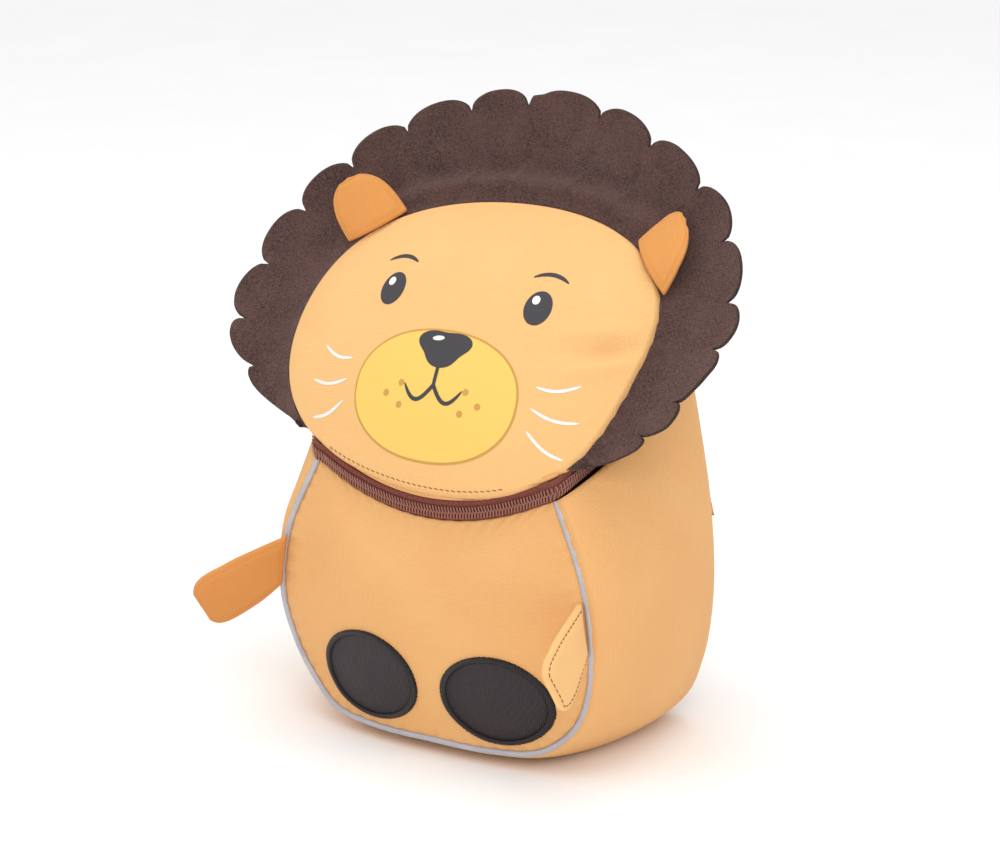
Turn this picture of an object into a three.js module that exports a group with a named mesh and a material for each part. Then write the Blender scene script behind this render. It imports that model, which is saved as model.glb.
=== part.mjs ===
// A small rucksack for a young child, shaped as a sitting lion. The belly, a gusset and a back panel
// make an open pouch, and the head is a hollow lid that a zip closes round its neck.
// Millimetres, +Z up. The lion faces -Y, and the origin is on the floor under the middle of the pouch.
import * as THREE from 'three';

// Driving dimensions of the pouch
const bellyHalfWidth = 95; // the front seam at its widest
const seamTop = 148; // height of the front seam's upper ends
const frontReach = 50; // front seam ahead of the origin
const backReach = 58; // gusset's rear edge behind the origin
const backTop = 190; // height of the gusset's rear upper corners
const bellyBulge = 14; // how far the stuffed belly stands ahead of its seam
const bellyCentre = 70; // height of the belly's fullest point
const neckDip = 19; // how far the belly's upper edge drops at its middle
const neckLead = 6; // how far that edge bows forward
const sideBulge = 7; // outward swell of the gusset
const clothWall = 2.4;
const backThickness = 5;
const clearance = 0.3;

// Driving dimensions of the head
const faceHalfWidth = 107;
const faceHalfHeight = 80;
const faceLean = THREE.MathUtils.degToRad(36); // from upright
const chinGap = 4.1; // room between the top of the zip and the face's lower edge
const faceSetback = -18; // middle of the face behind the origin
const faceBulge = 22;
const napeBulge = 9; // swell of the head's rear wall
const maneThickness = 2.4;
const maneWidth = 67; // over the forehead
const scallops = 18;
const scallopDepth = 10;
const maneStart = THREE.MathUtils.degToRad(-44); // from the face's right-hand end, upwards
const earLength = 33;
const earWidth = 42;
const earThickness = 3;
const earSeat = 0.4; // how far the ear's front stands out of the face's seam
const earCup = 6; // depth of the ear's hollow
const earRise = { x: 0.42, y: 0.24, z: 0.87 }; // where each ear points
const earPlace = THREE.MathUtils.degToRad(42);

// Driving dimensions of the trim
const pipingRadius = 2.2;
const lowerTapeWidth = 2;
const coilWidth = 4.4;
const upperTapeWidth = 2.4;
const tapeThickness = 1.2;
const coilRise = 1.5; // half the height of the zip's coil
const armLength = 53;
const armRootWidth = 27;
const handWidth = 32;
const armThickness = 6;
const armSink = 1; // how far the arm's root is drawn into the seam
const footHalfWidth = 31;
const footHalfHeight = 25;
const footSpread = 38; // each foot's middle from the middle line
const footHeight = 40;
const footThickness = 1.2;
const borderWidth = 4;
const borderThickness = 1.8;

// Driving dimensions of the carrying straps
const strapWidth = 34;
const strapThickness = 6;
const strapBow = 40; // how far a shoulder strap stands off the back
const strapTopSpread = 54;
const strapFootSpread = 76;
const strapTopHeight = 168;
const strapFootHeight = 30;
const webWidth = 20;
const webThickness = 1.6;
const buckleGap = 3.3; // room the adjuster leaves to the strap's two parts together
const loopSpan = 60;
const loopBow = 22;
const loopHeight = 152;

// Half of the gusset, from the middle of the base up to the neck. Each row is one section: across is a share of
// the belly's half width, up of the seam's or the rear corner's height, and forward of the front reach.
const gussetRows = [
  { across: 0.0, up: 0.06, forward: 1.12, backAcross: 0.0, backUp: 0.0 },
  { across: 0.36, up: 0.06, forward: 1.09, backAcross: 0.36, backUp: 0.0 },
  { across: 0.66, up: 0.085, forward: 1.0, backAcross: 0.68, backUp: 0.0 },
  { across: 0.84, up: 0.18, forward: 0.93, backAcross: 0.91, backUp: 0.07 },
  { across: 0.94, up: 0.32, forward: 0.98, backAcross: 1.03, backUp: 0.2 },
  { across: 0.98, up: 0.5, forward: 1.07, backAcross: 1.08, backUp: 0.4 },
  { across: 0.93, up: 0.73, forward: 1.08, backAcross: 1.05, backUp: 0.65 },
  { across: 0.75, up: 1.0, forward: 1.02, backAcross: 0.92, backUp: 1.0 },
];

// The mane from its end beside the chin to its middle over the forehead. turn is a share of that half's sweep,
// width of the mane's width, and the cloth leaves the seam along root and ends along tip.
const maneRows = [
  { turn: 0.0, width: 0.09, rootOut: 0.8, rootBack: 0.4, rootUp: 0.1, tipOut: 0.9, tipBack: 0.2, tipUp: 0.0 },
  { turn: 0.1, width: 0.254, rootOut: 0.8, rootBack: 0.4, rootUp: 0.0, tipOut: 0.9, tipBack: -0.1, tipUp: -0.1 },
  { turn: 0.24, width: 0.463, rootOut: 0.85, rootBack: 0.45, rootUp: 0.0, tipOut: 0.95, tipBack: -0.35, tipUp: -0.1 },
  { turn: 0.42, width: 0.672, rootOut: 0.8, rootBack: 0.55, rootUp: 0.1, tipOut: 0.95, tipBack: -0.25, tipUp: 0.1 },
  { turn: 0.62, width: 0.776, rootOut: 0.6, rootBack: 0.7, rootUp: 0.4, tipOut: 0.8, tipBack: -0.1, tipUp: 0.6 },
  { turn: 0.82, width: 0.896, rootOut: 0.25, rootBack: 0.8, rootUp: 0.6, tipOut: 0.35, tipBack: 0.0, tipUp: 0.95 },
  { turn: 1.0, width: 1.0, rootOut: 0.0, rootBack: 0.8, rootUp: 0.6, tipOut: 0.0, tipBack: -0.05, tipUp: 1.0 },
];

// Each arm's root height as a share of the seam's, where it points, and its turn in degrees about its own
// length. The lion's right arm is on the -X side.
const armPoses = [
  { name: 'arm_right', side: -1, root: 0.595, out: 0.76, ahead: 0.37, down: 0.53, turn: 0 },
  { name: 'arm_left', side: 1, root: 0.574, out: 0.28, ahead: 0.8, down: 0.52, turn: 34 },
];

// Facet counts
const relaxSweeps = 400;
const seamSteps = 44;
const gussetSteps = 6;
const panelRings = 6;
const headSteps = 44;
const maneRings = 4;
const scallopSteps = 7;

const cloth = new THREE.MeshStandardMaterial({ color: 0xf4bd78, roughness: 0.85 });
const fleece = new THREE.MeshStandardMaterial({ color: 0x5c4038, roughness: 1 });
const zipBrown = new THREE.MeshStandardMaterial({ color: 0x7c3f32, roughness: 0.7 });
const reflective = new THREE.MeshStandardMaterial({ color: 0xb9b8c0, roughness: 0.45 });
const footCloth = new THREE.MeshStandardMaterial({ color: 0x3a2c30, roughness: 0.5 });
const webbing = new THREE.MeshStandardMaterial({ color: 0x5c4038, roughness: 0.8 });
const moulded = new THREE.MeshStandardMaterial({ color: 0x4a3029, roughness: 0.45 });

const vec = (x, y, z) => new THREE.Vector3(x, y, z);
const mirrored = (p) => vec(-p.x, p.y, p.z);

const lion = new THREE.Group();

function add(name, geometry, material) {
  const mesh = new THREE.Mesh(geometry, material);
  mesh.name = name;
  lion.add(mesh);
  return mesh;
}

// Turns a list of points and of triangles into a closed geometry.
function geometryOf(points, triangles) {
  const flat = points.flatMap((p) => [p.x, p.y, p.z]);
  const geometry = new THREE.BufferGeometry();
  geometry.setAttribute('position', new THREE.Float32BufferAttribute(flat, 3));
  geometry.setIndex(triangles.flat());
  geometry.computeVertexNormals();
  return geometry;
}

// A sheet of cloth: grid[i][j] are points on its outer skin, and the inner skin lies one thickness below it.
// With wrap, the last row joins the first, and with flip the outer side is the other one. inwards, when given, holds
// each row's own direction of thickness.
function sheet(grid, thickness, { wrap = false, flip = false, inwards = null } = {}) {
  const rows = grid.length;
  const columns = grid[0].length;
  const sign = flip ? -1 : 1;
  const rowAt = (i) => (wrap ? (i + rows) % rows : Math.min(Math.max(i, 0), rows - 1));
  const normalAt = (i, j) => {
    if (inwards) return inwards[i].clone().negate();
    const along = grid[rowAt(i + 1)][j].clone().sub(grid[rowAt(i - 1)][j]);
    const across = grid[i][Math.min(j + 1, columns - 1)].clone().sub(grid[i][Math.max(j - 1, 0)]);
    return along.cross(across).normalize().multiplyScalar(sign);
  };
  const outer = grid.flat();
  const inner = grid.flatMap((row, i) => row.map((p, j) => p.clone().addScaledVector(normalAt(i, j), -thickness)));
  const points = [...outer, ...inner];
  const out = (i, j) => rowAt(i) * columns + j;
  const inn = (i, j) => outer.length + out(i, j);
  const triangles = [];
  const quad = (a, b, c, d) => {
    if (flip) triangles.push([a, c, b], [a, d, c]);
    else triangles.push([a, b, c], [a, c, d]);
  };
  const spans = wrap ? rows : rows - 1;
  for (let i = 0; i < spans; i += 1) {
    for (let j = 0; j < columns - 1; j += 1) {
      quad(out(i, j), out(i + 1, j), out(i + 1, j + 1), out(i, j + 1));
      quad(inn(i, j), inn(i, j + 1), inn(i + 1, j + 1), inn(i + 1, j));
    }
    quad(out(i, 0), inn(i, 0), inn(i + 1, 0), out(i + 1, 0));
    quad(out(i, columns - 1), out(i + 1, columns - 1), inn(i + 1, columns - 1), inn(i, columns - 1));
  }
  if (!wrap) {
    for (let j = 0; j < columns - 1; j += 1) {
      quad(out(0, j), out(0, j + 1), inn(0, j + 1), inn(0, j));
      quad(out(rows - 1, j), inn(rows - 1, j), inn(rows - 1, j + 1), out(rows - 1, j + 1));
    }
  }
  return geometryOf(points, triangles);
}

// A panel bounded by a loop: pointAt(ring, k) gives its outer skin from ring 0, the middle, to ring 1, the loop,
// and inward is the direction in which its thickness runs at each point.
function panel(pointAt, inwardAt, loopCount, rings, thickness) {
  const skin = (depth) => {
    const points = [pointAt(0, 0).addScaledVector(inwardAt(0, 0), depth)];
    for (let ring = 1; ring <= rings; ring += 1) {
      for (let k = 0; k < loopCount; k += 1) {
        const share = ring / rings;
        points.push(pointAt(share, k).addScaledVector(inwardAt(share, k), depth));
      }
    }
    return points;
  };
  const outer = skin(0);
  const inner = skin(thickness);
  const at = (ring, k) => (ring === 0 ? 0 : 1 + (ring - 1) * loopCount + (k % loopCount));
  const triangles = [];
  const face = (a, b, c) => {
    triangles.push([a, b, c], [a + outer.length, c + outer.length, b + outer.length]);
  };
  for (let k = 0; k < loopCount; k += 1) {
    face(0, at(1, k), at(1, k + 1));
    for (let ring = 1; ring < rings; ring += 1) {
      face(at(ring, k), at(ring + 1, k), at(ring + 1, k + 1));
      face(at(ring, k), at(ring + 1, k + 1), at(ring, k + 1));
    }
    const a = at(rings, k);
    const b = at(rings, k + 1);
    triangles.push([a, a + outer.length, b + outer.length], [a, b + outer.length, b]);
  }
  return geometryOf([...outer, ...inner], triangles);
}

// Seams of the pouch, each one curve from the left upper end under the base to the right upper end
const frontPoint = (row) => vec(row.across * bellyHalfWidth, -row.forward * frontReach, row.up * seamTop);
const backPoint = (row) => vec(row.backAcross * bellyHalfWidth, backReach, row.backUp * backTop);

function seamCurve(pointOf) {
  const right = gussetRows.map(pointOf);
  const left = right.slice(1).reverse().map(mirrored);
  return new THREE.CatmullRomCurve3([...left, ...right], false, 'centripetal');
}

const frontSeam = seamCurve(frontPoint);
const backSeam = seamCurve(backPoint);

// The gusset's outer skin: along runs from the left upper end to the right, across from the front seam to the rear.
function gussetPoint(along, across) {
  const front = frontSeam.getPoint(along);
  const point = front.clone().lerp(backSeam.getPoint(along), across);
  const tangent = frontSeam.getTangent(along);
  const outward = vec(-tangent.z, 0, tangent.x).normalize().negate();
  point.addScaledVector(outward, sideBulge * Math.max(0, Math.sin(Math.PI * across)) ** 0.7);
  point.z = Math.max(point.z, 0);
  return point;
}

const pipingReach = pipingRadius + clearance;
const gussetStart = pipingReach / (frontReach + backReach);

function gussetGrid() {
  const grid = [];
  for (let i = 0; i <= seamSteps; i += 1) {
    const row = [];
    for (let j = 0; j <= gussetSteps; j += 1) {
      row.push(gussetPoint(i / seamSteps, gussetStart + (1 - gussetStart) * (j / gussetSteps)));
    }
    grid.push(row);
  }
  return grid;
}

// The belly's upper edge, share -1 at the left end of the front seam and 1 at its right end
const seamEnd = frontPoint(gussetRows[gussetRows.length - 1]);

function bellyEdge(share) {
  const fall = 1 - share * share;
  return vec(share * seamEnd.x, seamEnd.y - neckLead * fall, seamEnd.z - neckDip * fall);
}

const bellyMiddle = vec(0, 0, bellyCentre);
const edgeSteps = 14;

// The belly's boundary, counter-clockwise as the viewer in front of it sees it
function bellyLoop() {
  const loop = [];
  for (let i = 0; i <= seamSteps; i += 1) {
    const p = frontSeam.getPoint(i / seamSteps);
    const inward = bellyMiddle.clone().sub(p).setY(0);
    if (i === 0 || i === seamSteps) inward.setZ(0);
    loop.push(p.addScaledVector(inward.normalize(), pipingReach));
  }
  for (let i = 1; i < edgeSteps; i += 1) {
    const p = bellyEdge(1 - (2 * i) / edgeSteps);
    p.x *= 1 - pipingReach / seamEnd.x;
    loop.push(p);
  }
  return loop;
}

const bellyBounds = bellyLoop();

// Depth of the belly at each ring and spoke: its edge spread inwards like a stretched membrane, and blown out
function inflate(bounds, rings, bulge) {
  const count = bounds.length;
  const step = (2 * Math.PI) / count;
  const mean = bounds.reduce((sum, p) => sum + p.y, 0) / count;
  const depth = [];
  for (let ring = 0; ring < rings; ring += 1) depth.push(new Array(count).fill(mean));
  depth.push(bounds.map((p) => p.y));
  const load = (4 * bulge) / rings ** 2;
  for (let sweep = 0; sweep < relaxSweeps; sweep += 1) {
    const middle = depth[1].reduce((sum, y) => sum + y, 0) / count - load / 4;
    depth[0].fill(middle);
    for (let ring = 1; ring < rings; ring += 1) {
      for (let k = 0; k < count; k += 1) {
        const outer = (ring + 0.5) * step;
        const inner = (ring - 0.5) * step;
        const beside = 1 / (ring * step);
        const sides = depth[ring][(k + 1) % count] + depth[ring][(k + count - 1) % count];
        const pull = outer * depth[ring + 1][k] + inner * depth[ring - 1][k] + beside * sides;
        depth[ring][k] = (pull - load * ring * step) / (outer + inner + 2 * beside);
      }
    }
  }
  return depth;
}

const bellyDepth = inflate(bellyBounds, panelRings, bellyBulge);

function bellyPoint(ring, k) {
  const point = bellyMiddle.clone().lerp(bellyBounds[k % bellyBounds.length], ring);
  return point.setY(bellyDepth[Math.round(ring * panelRings)][k % bellyBounds.length]);
}

// The belly's outer skin under the point x, z of the front view
function bellyAt(x, z) {
  const dx = x - bellyMiddle.x;
  const dz = z - bellyMiddle.z;
  const count = bellyBounds.length;
  for (let k = 0; k < count; k += 1) {
    const a = bellyBounds[k].clone().sub(bellyMiddle);
    const b = bellyBounds[(k + 1) % count].clone().sub(bellyMiddle);
    const det = a.x * b.z - a.z * b.x;
    const u = (dx * b.z - dz * b.x) / det;
    const v = (a.x * dz - a.z * dx) / det;
    if (u < 0 || v < 0 || u + v > 1 || u + v === 0) continue;
    const reach = (u + v) * panelRings;
    const ring = Math.min(Math.floor(reach), panelRings - 1);
    const depthOf = (r) => bellyDepth[r][k] + (bellyDepth[r][(k + 1) % count] - bellyDepth[r][k]) * (v / (u + v));
    return vec(x, depthOf(ring) + (depthOf(ring + 1) - depthOf(ring)) * (reach - ring), z);
  }
  return vec(x, bellyDepth[0][0], z);
}

const backward = vec(0, 1, 0);

function buildPouch() {
  add('gusset', sheet(gussetGrid(), clothWall, { flip: true }), cloth);
  add('belly_panel', panel(bellyPoint, () => backward, bellyBounds.length, panelRings, clothWall), cloth);

  const shape = new THREE.Shape();
  const corners = [];
  for (let i = 0; i <= seamSteps; i += 1) corners.push(backSeam.getPoint(i / seamSteps));
  corners.forEach((p) => (p.z = Math.max(p.z, 0)));
  corners.forEach((p, i) => (i ? shape.lineTo(p.x, p.z) : shape.moveTo(p.x, p.z)));
  for (let i = 1; i < edgeSteps; i += 1) {
    const p = hingeEdge(1 - (2 * i) / edgeSteps);
    shape.lineTo(p.x, p.z);
  }
  shape.closePath();
  const geometry = new THREE.ExtrudeGeometry(shape, { depth: backThickness, bevelEnabled: false });
  geometry.rotateX(Math.PI / 2);
  geometry.translate(0, backReach + clearance + backThickness, 0);
  add('back_panel', geometry, cloth);
}

// The back panel's upper edge, where the head is hinged
const backEnd = backPoint(gussetRows[gussetRows.length - 1]);
const hingeRise = 10;
const rearFace = backReach + clearance + backThickness;

function hingeEdge(share) {
  return vec(share * backEnd.x, backReach, backEnd.z + hingeRise * (1 - share * share));
}

// The neck: the pouch's upper edge, from the rear left corner round the front to the rear right one
const neckSamples = 8;

function neckHalf() {
  const half = [];
  for (let i = 0; i < neckSamples; i += 1) half.push(bellyEdge(i / neckSamples));
  for (let i = 0; i <= neckSamples; i += 1) half.push(gussetPoint(1, i / neckSamples));
  return half;
}

function neckCurve() {
  const right = neckHalf();
  return new THREE.CatmullRomCurve3([...right.slice(1).reverse().map(mirrored), ...right], false, 'centripetal');
}

const neck = neckCurve();

// Outward and upward directions of the zip at a share of the neck
function neckFrame(share) {
  const tangent = neck.getTangent(share);
  const outward = vec(tangent.y, -tangent.x, 0).normalize();
  const up = vec(0, 0, 1).addScaledVector(outward, -outward.y * neckLean).normalize();
  return { outward, up };
}

const neckLean = 0.3; // how far the zip leans out under the chin
const collarGap = 5.5 * clearance;
const zipSeat = 4 * clearance; // gap under the zip
const zipHeight = zipSeat + lowerTapeWidth + coilWidth + upperTapeWidth + 4 * clearance;
const zipSteps = 56;
const zipEnd = 0.95; // share of the neck at which the zip stops short of the back panel

// A band of the zip between two heights above the pouch's edge
function zipBand(low, high, thickness) {
  const grid = [];
  for (let i = 0; i <= zipSteps; i += 1) {
    const share = 0.5 + (i / zipSteps - 0.5) * (2 * zipEnd - 1);
    const { up } = neckFrame(share);
    const foot = neck.getPoint(share);
    grid.push([foot.clone().addScaledVector(up, low), foot.clone().addScaledVector(up, high)]);
  }
  return sheet(grid, thickness);
}

function buildZip() {
  const coilLow = zipSeat + lowerTapeWidth + 2 * clearance;
  const upperLow = coilLow + coilWidth + clearance;
  add('zip_tape_lower', zipBand(zipSeat, zipSeat + lowerTapeWidth, tapeThickness), zipBrown);
  add('zip_tape_upper', zipBand(upperLow, upperLow + upperTapeWidth, tapeThickness), zipBrown);

  const grid = [];
  const middle = coilLow + coilWidth / 2;
  const sides = 6;
  for (let i = 0; i <= zipSteps; i += 1) {
    const share = 0.5 + (i / zipSteps - 0.5) * (2 * zipEnd - 1);
    const { outward, up } = neckFrame(share);
    const centre = neck.getPoint(share).addScaledVector(up, middle);
    const ring = [];
    for (let j = 0; j < sides; j += 1) {
      const angle = (2 * Math.PI * j) / sides;
      ring.push(centre.clone()
        .addScaledVector(up, (coilWidth / 2) * Math.cos(angle))
        .addScaledVector(outward, coilRise * Math.sin(angle) - tapeThickness / 2));
    }
    grid.push(ring);
  }
  add('zip_coil', tube(grid), zipBrown);
}

// A closed tube through rings of points
function tube(rings) {
  const sides = rings[0].length;
  const points = rings.flat();
  const triangles = [];
  const at = (i, j) => i * sides + (j % sides);
  for (let i = 0; i < rings.length - 1; i += 1) {
    for (let j = 0; j < sides; j += 1) {
      triangles.push([at(i, j), at(i + 1, j + 1), at(i + 1, j)], [at(i, j), at(i, j + 1), at(i + 1, j + 1)]);
    }
  }
  const last = rings.length - 1;
  for (let j = 1; j < sides - 1; j += 1) {
    triangles.push([at(0, 0), at(0, j + 1), at(0, j)], [at(last, 0), at(last, j), at(last, j + 1)]);
  }
  return geometryOf(points, triangles);
}

function buildPiping() {
  const section = new THREE.Shape();
  section.absarc(0, 0, pipingRadius, 0, 2 * Math.PI);
  const geometry = new THREE.ExtrudeGeometry(section, {
    extrudePath: frontSeam,
    steps: seamSteps,
    curveSegments: 3,
    bevelEnabled: false,
  });
  add('piping', geometry, reflective);
}

// The head. Points of the face are given across, along its own slope and out of it.
const chinHeight = seamTop - neckDip + zipHeight + chinGap;
const faceHeight = chinHeight + faceHalfHeight * Math.cos(faceLean);
const faceMiddle = vec(0, faceSetback, faceHeight);
const faceUp = vec(0, Math.sin(faceLean), Math.cos(faceLean));
const faceOut = vec(0, -Math.cos(faceLean), Math.sin(faceLean));
const faceInward = faceOut.clone().negate();

function facePoint(ring, angle, bulge) {
  return faceMiddle.clone()
    .addScaledVector(vec(1, 0, 0), ring * faceHalfWidth * Math.cos(angle))
    .addScaledVector(faceUp, ring * faceHalfHeight * Math.sin(angle))
    .addScaledVector(faceOut, bulge * (1 - ring ** 2.4));
}

const headAngle = (k) => (2 * Math.PI * k) / headSteps - Math.PI / 2;

// The neck's upper edge as a closed loop from its front middle round the right side
function collarLoop() {
  const half = [];
  for (let i = 0; i < zipSteps; i += 1) {
    const share = 0.5 + (0.5 * i) / zipSteps;
    half.push(neck.getPoint(share).addScaledVector(neckFrame(share).up, zipHeight + collarGap));
  }
  [1, 0.75, 0.5, 0.25, 0].forEach((share) => {
    const p = hingeEdge(share);
    half.push(vec(p.x, rearFace - clearance, p.z + collarGap));
  });
  return [...half, ...half.slice(1, -1).reverse().map(mirrored), half[0].clone()];
}

const collar = collarLoop();
const maneSeat = clothWall + clearance;

// How far behind the face its side band starts: below the mane, or right below the face where there is no mane
function bandSeat(angle) {
  const past = Math.sin(angle) - Math.sin(maneStart) + 0.12;
  return maneSeat + 3 * clearance + (maneThickness + 3 * clearance) * Math.min(1, Math.max(0, past / 0.12));
}


// The collar's point in the plan direction of a point of the face's seam
function collarAt(direction) {
  for (let i = 0; i < collar.length - 1; i += 1) {
    const a = collar[i];
    const b = collar[i + 1];
    const det = direction.x * (b.y - a.y) - direction.y * (b.x - a.x);
    const share = (a.x * direction.y - a.y * direction.x) / det;
    const p = a.clone().lerp(b, share);
    if (share >= 0 && share <= 1 && p.x * direction.x + p.y * direction.y > 0) return p;
  }
  return collar[0].clone();
}

function buildHead() {
  const inwardAt = () => faceInward;
  const pointAt = (ring, k) => facePoint(ring, headAngle(k), faceBulge);
  add('face_panel', panel(pointAt, inwardAt, headSteps, panelRings, clothWall), cloth);

  const steps = 5;
  const grid = [];
  const inwards = [];
  for (let k = 0; k < headSteps; k += 1) {
    const seam = facePoint(1, headAngle(k), 0);
    const direction = seam.clone().sub(faceMiddle).setZ(0).normalize();
    const low = collarAt(direction);
    const high = seam.addScaledVector(faceInward, bandSeat(headAngle(k)));
    const rear = Math.max(0, Math.sin(headAngle(k)));
    const row = [];
    for (let j = 0; j <= steps; j += 1) {
      const share = j / steps;
      row.push(low.clone().lerp(high, share).addScaledVector(direction, napeBulge * rear * Math.sin(Math.PI * share)));
    }
    grid.push(row);
    inwards.push(direction.negate());
  }
  add('head_band', sheet(grid, clothWall, { wrap: true, inwards }), cloth);
}

// Reads a column of the mane's table at a share of its half
function maneColumn(turn, column) {
  const next = maneRows.findIndex((row) => row.turn >= turn);
  const high = maneRows[Math.max(next, 1)];
  const low = maneRows[Math.max(next, 1) - 1];
  const share = (turn - low.turn) / (high.turn - low.turn);
  return low[column] + (high[column] - low[column]) * share;
}

const maneAngle = (share) => maneStart + share * (Math.PI - 2 * maneStart);

// The mane's cloth at a share of its length: points along it from the seam outwards, shortened by some amount
function maneRib(share, shortened) {
  const side = share <= 0.5 ? 1 : -1;
  const turn = Math.min(1, 2 * Math.min(share, 1 - share));
  const read = (column) => maneColumn(turn, column);
  const root = vec(side * read('rootOut'), read('rootBack'), read('rootUp')).normalize();
  const tip = vec(side * read('tipOut'), read('tipBack'), read('tipUp')).normalize();
  const full = read('width') * maneWidth;
  const cut = Math.min(shortened, full * 0.4);
  const point = facePoint(1, maneAngle(share), 0).addScaledVector(faceInward, maneSeat);
  const row = [point.clone()];
  for (let ring = 1; ring <= maneRings; ring += 1) {
    const heading = root.clone().lerp(tip, ((ring - 0.5) / maneRings) ** 0.7).normalize();
    point.addScaledVector(heading, full / maneRings - cut * ((ring / maneRings) ** 4 - ((ring - 1) / maneRings) ** 4));
    row.push(point.clone());
  }
  return row;
}

// Shares of the mane's length at even distances along its outer edge
function evenManeShares(count) {
  const samples = 200;
  const lengths = [0];
  let last = maneRib(0, 0)[maneRings];
  for (let i = 1; i <= samples; i += 1) {
    const tip = maneRib(i / samples, 0)[maneRings];
    lengths.push(lengths[i - 1] + tip.distanceTo(last));
    last = tip;
  }
  const shares = [];
  for (let i = 0; i <= count; i += 1) {
    const target = (lengths[samples] * i) / count;
    const next = Math.max(1, lengths.findIndex((length) => length >= target - 1e-6));
    const part = (target - lengths[next - 1]) / (lengths[next] - lengths[next - 1]);
    shares.push((next - 1 + part) / samples);
  }
  return shares;
}

function buildMane() {
  const grid = evenManeShares(scallops * scallopSteps).map((share, i) => {
    const lobe = (2 * (i % scallopSteps)) / scallopSteps - 1;
    return maneRib(share, scallopDepth * (1 - Math.sqrt(1 - Math.abs(lobe) ** 2.2)));
  });
  add('mane', sheet(grid, maneThickness, { flip: true }), fleece);
}

// A cupped ear, rooted in the seam of the face
function buildEar(name, side) {
  const angle = side > 0 ? earPlace : Math.PI - earPlace;
  const root = facePoint(1, angle, 0);
  const away = root.clone().sub(faceMiddle).normalize();
  const along = vec(-side * Math.sin(earPlace) * faceHalfWidth, 0, 0)
    .addScaledVector(faceUp, Math.cos(earPlace) * faceHalfHeight).normalize().multiplyScalar(side);
  const rise = vec(side * earRise.x, earRise.y, earRise.z).normalize();
  const hollow = along.clone().cross(rise).normalize();
  const stations = 7;
  const spans = 6;
  const grid = [];
  for (let i = 0; i <= stations; i += 1) {
    const share = Math.sin((Math.PI / 2) * (i / stations));
    const half = (earWidth / 2) * (1 - 0.1 * share) * Math.sqrt(1 - 0.9 * share ** 3.5);
    const row = [];
    for (let j = 0; j <= spans; j += 1) {
      const across = (2 * j) / spans - 1;
      const cup = earCup * (1 - across * across) * (1 - 0.6 * share);
      row.push(root.clone()
        .addScaledVector(faceOut, earSeat)
        .addScaledVector(rise, share * earLength)
        .addScaledVector(along, across * half)
        .addScaledVector(hollow, -cup));
    }
    grid.push(row);
  }
  add(name, sheet(grid, earThickness), cloth);
}

// Share of the front seam at which its right half reaches a height
function seamShareAt(height) {
  let low = 0.5;
  let high = 1;
  for (let i = 0; i < 30; i += 1) {
    const middle = (low + high) / 2;
    if (frontSeam.getPoint(middle).z < height) low = middle;
    else high = middle;
  }
  return low;
}

// A flat stuffed arm, sewn into the front seam
function buildArm({ name, side, root: rise, out, ahead, down, turn }) {
  const share = seamShareAt(rise * seamTop);
  const root = frontSeam.getPoint(share);
  root.x -= pipingReach;
  root.y -= pipingReach - armSink;
  if (side < 0) root.x *= -1;
  const seamRun = frontSeam.getTangent(share);
  if (side < 0) seamRun.x *= -1;
  const heading = vec(side * out, -ahead, -down).normalize();
  const breadth = seamRun.clone().addScaledVector(heading, -seamRun.dot(heading)).normalize();
  const stations = 9;
  const spans = 4;
  const grid = [];
  for (let i = 0; i <= stations; i += 1) {
    const share = Math.sin((Math.PI / 2) * (i / stations));
    const loose = Math.min(1, share / 0.6);
    const across = seamRun.clone().lerp(breadth, loose).normalize();
    across.applyAxisAngle(heading, THREE.MathUtils.degToRad(turn) * loose);
    const half = 0.5 * THREE.MathUtils.lerp(armRootWidth, handWidth, share) * Math.sqrt(1 - 0.9 * share ** 5);
    const row = [];
    for (let j = 0; j <= spans; j += 1) {
      const reach = ((2 * j) / spans - 1) * half;
      row.push(root.clone().addScaledVector(heading, share * armLength).addScaledVector(across, reach));
    }
    grid.push(row);
  }
  add(name, sheet(grid, armThickness, { flip: side > 0 }), cloth);
}

// A foot: an oval patch on the belly with a satin stitched border round it
function buildFoot(name, side) {
  const middleX = side * footSpread;
  const on = (scale, angle, lift) => {
    const x = middleX + scale * footHalfWidth * Math.cos(angle);
    const z = footHeight + scale * footHalfHeight * Math.sin(angle);
    return bellyAt(x, z).addScaledVector(backward, -lift);
  };
  const count = 26;
  const angleOf = (k) => (2 * Math.PI * k) / count;
  const patchEdge = 1 - (borderWidth + clearance) / footHalfHeight;
  const patchLift = clearance + footThickness;
  const patchAt = (ring, k) => on(ring * patchEdge, angleOf(k), patchLift);
  add(`${name}_patch`, panel(patchAt, () => backward, count, 2, footThickness), footCloth);

  const grid = [];
  for (let k = 0; k < count; k += 1) {
    const row = [];
    for (let j = 0; j <= 1; j += 1) {
      const scale = 1 - (borderWidth / footHalfHeight) * (1 - j);
      row.push(on(scale, angleOf(k), clearance + borderThickness));
    }
    grid.push(row);
  }
  add(`${name}_border`, ringSheet(grid, borderThickness), footCloth);
}

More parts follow.
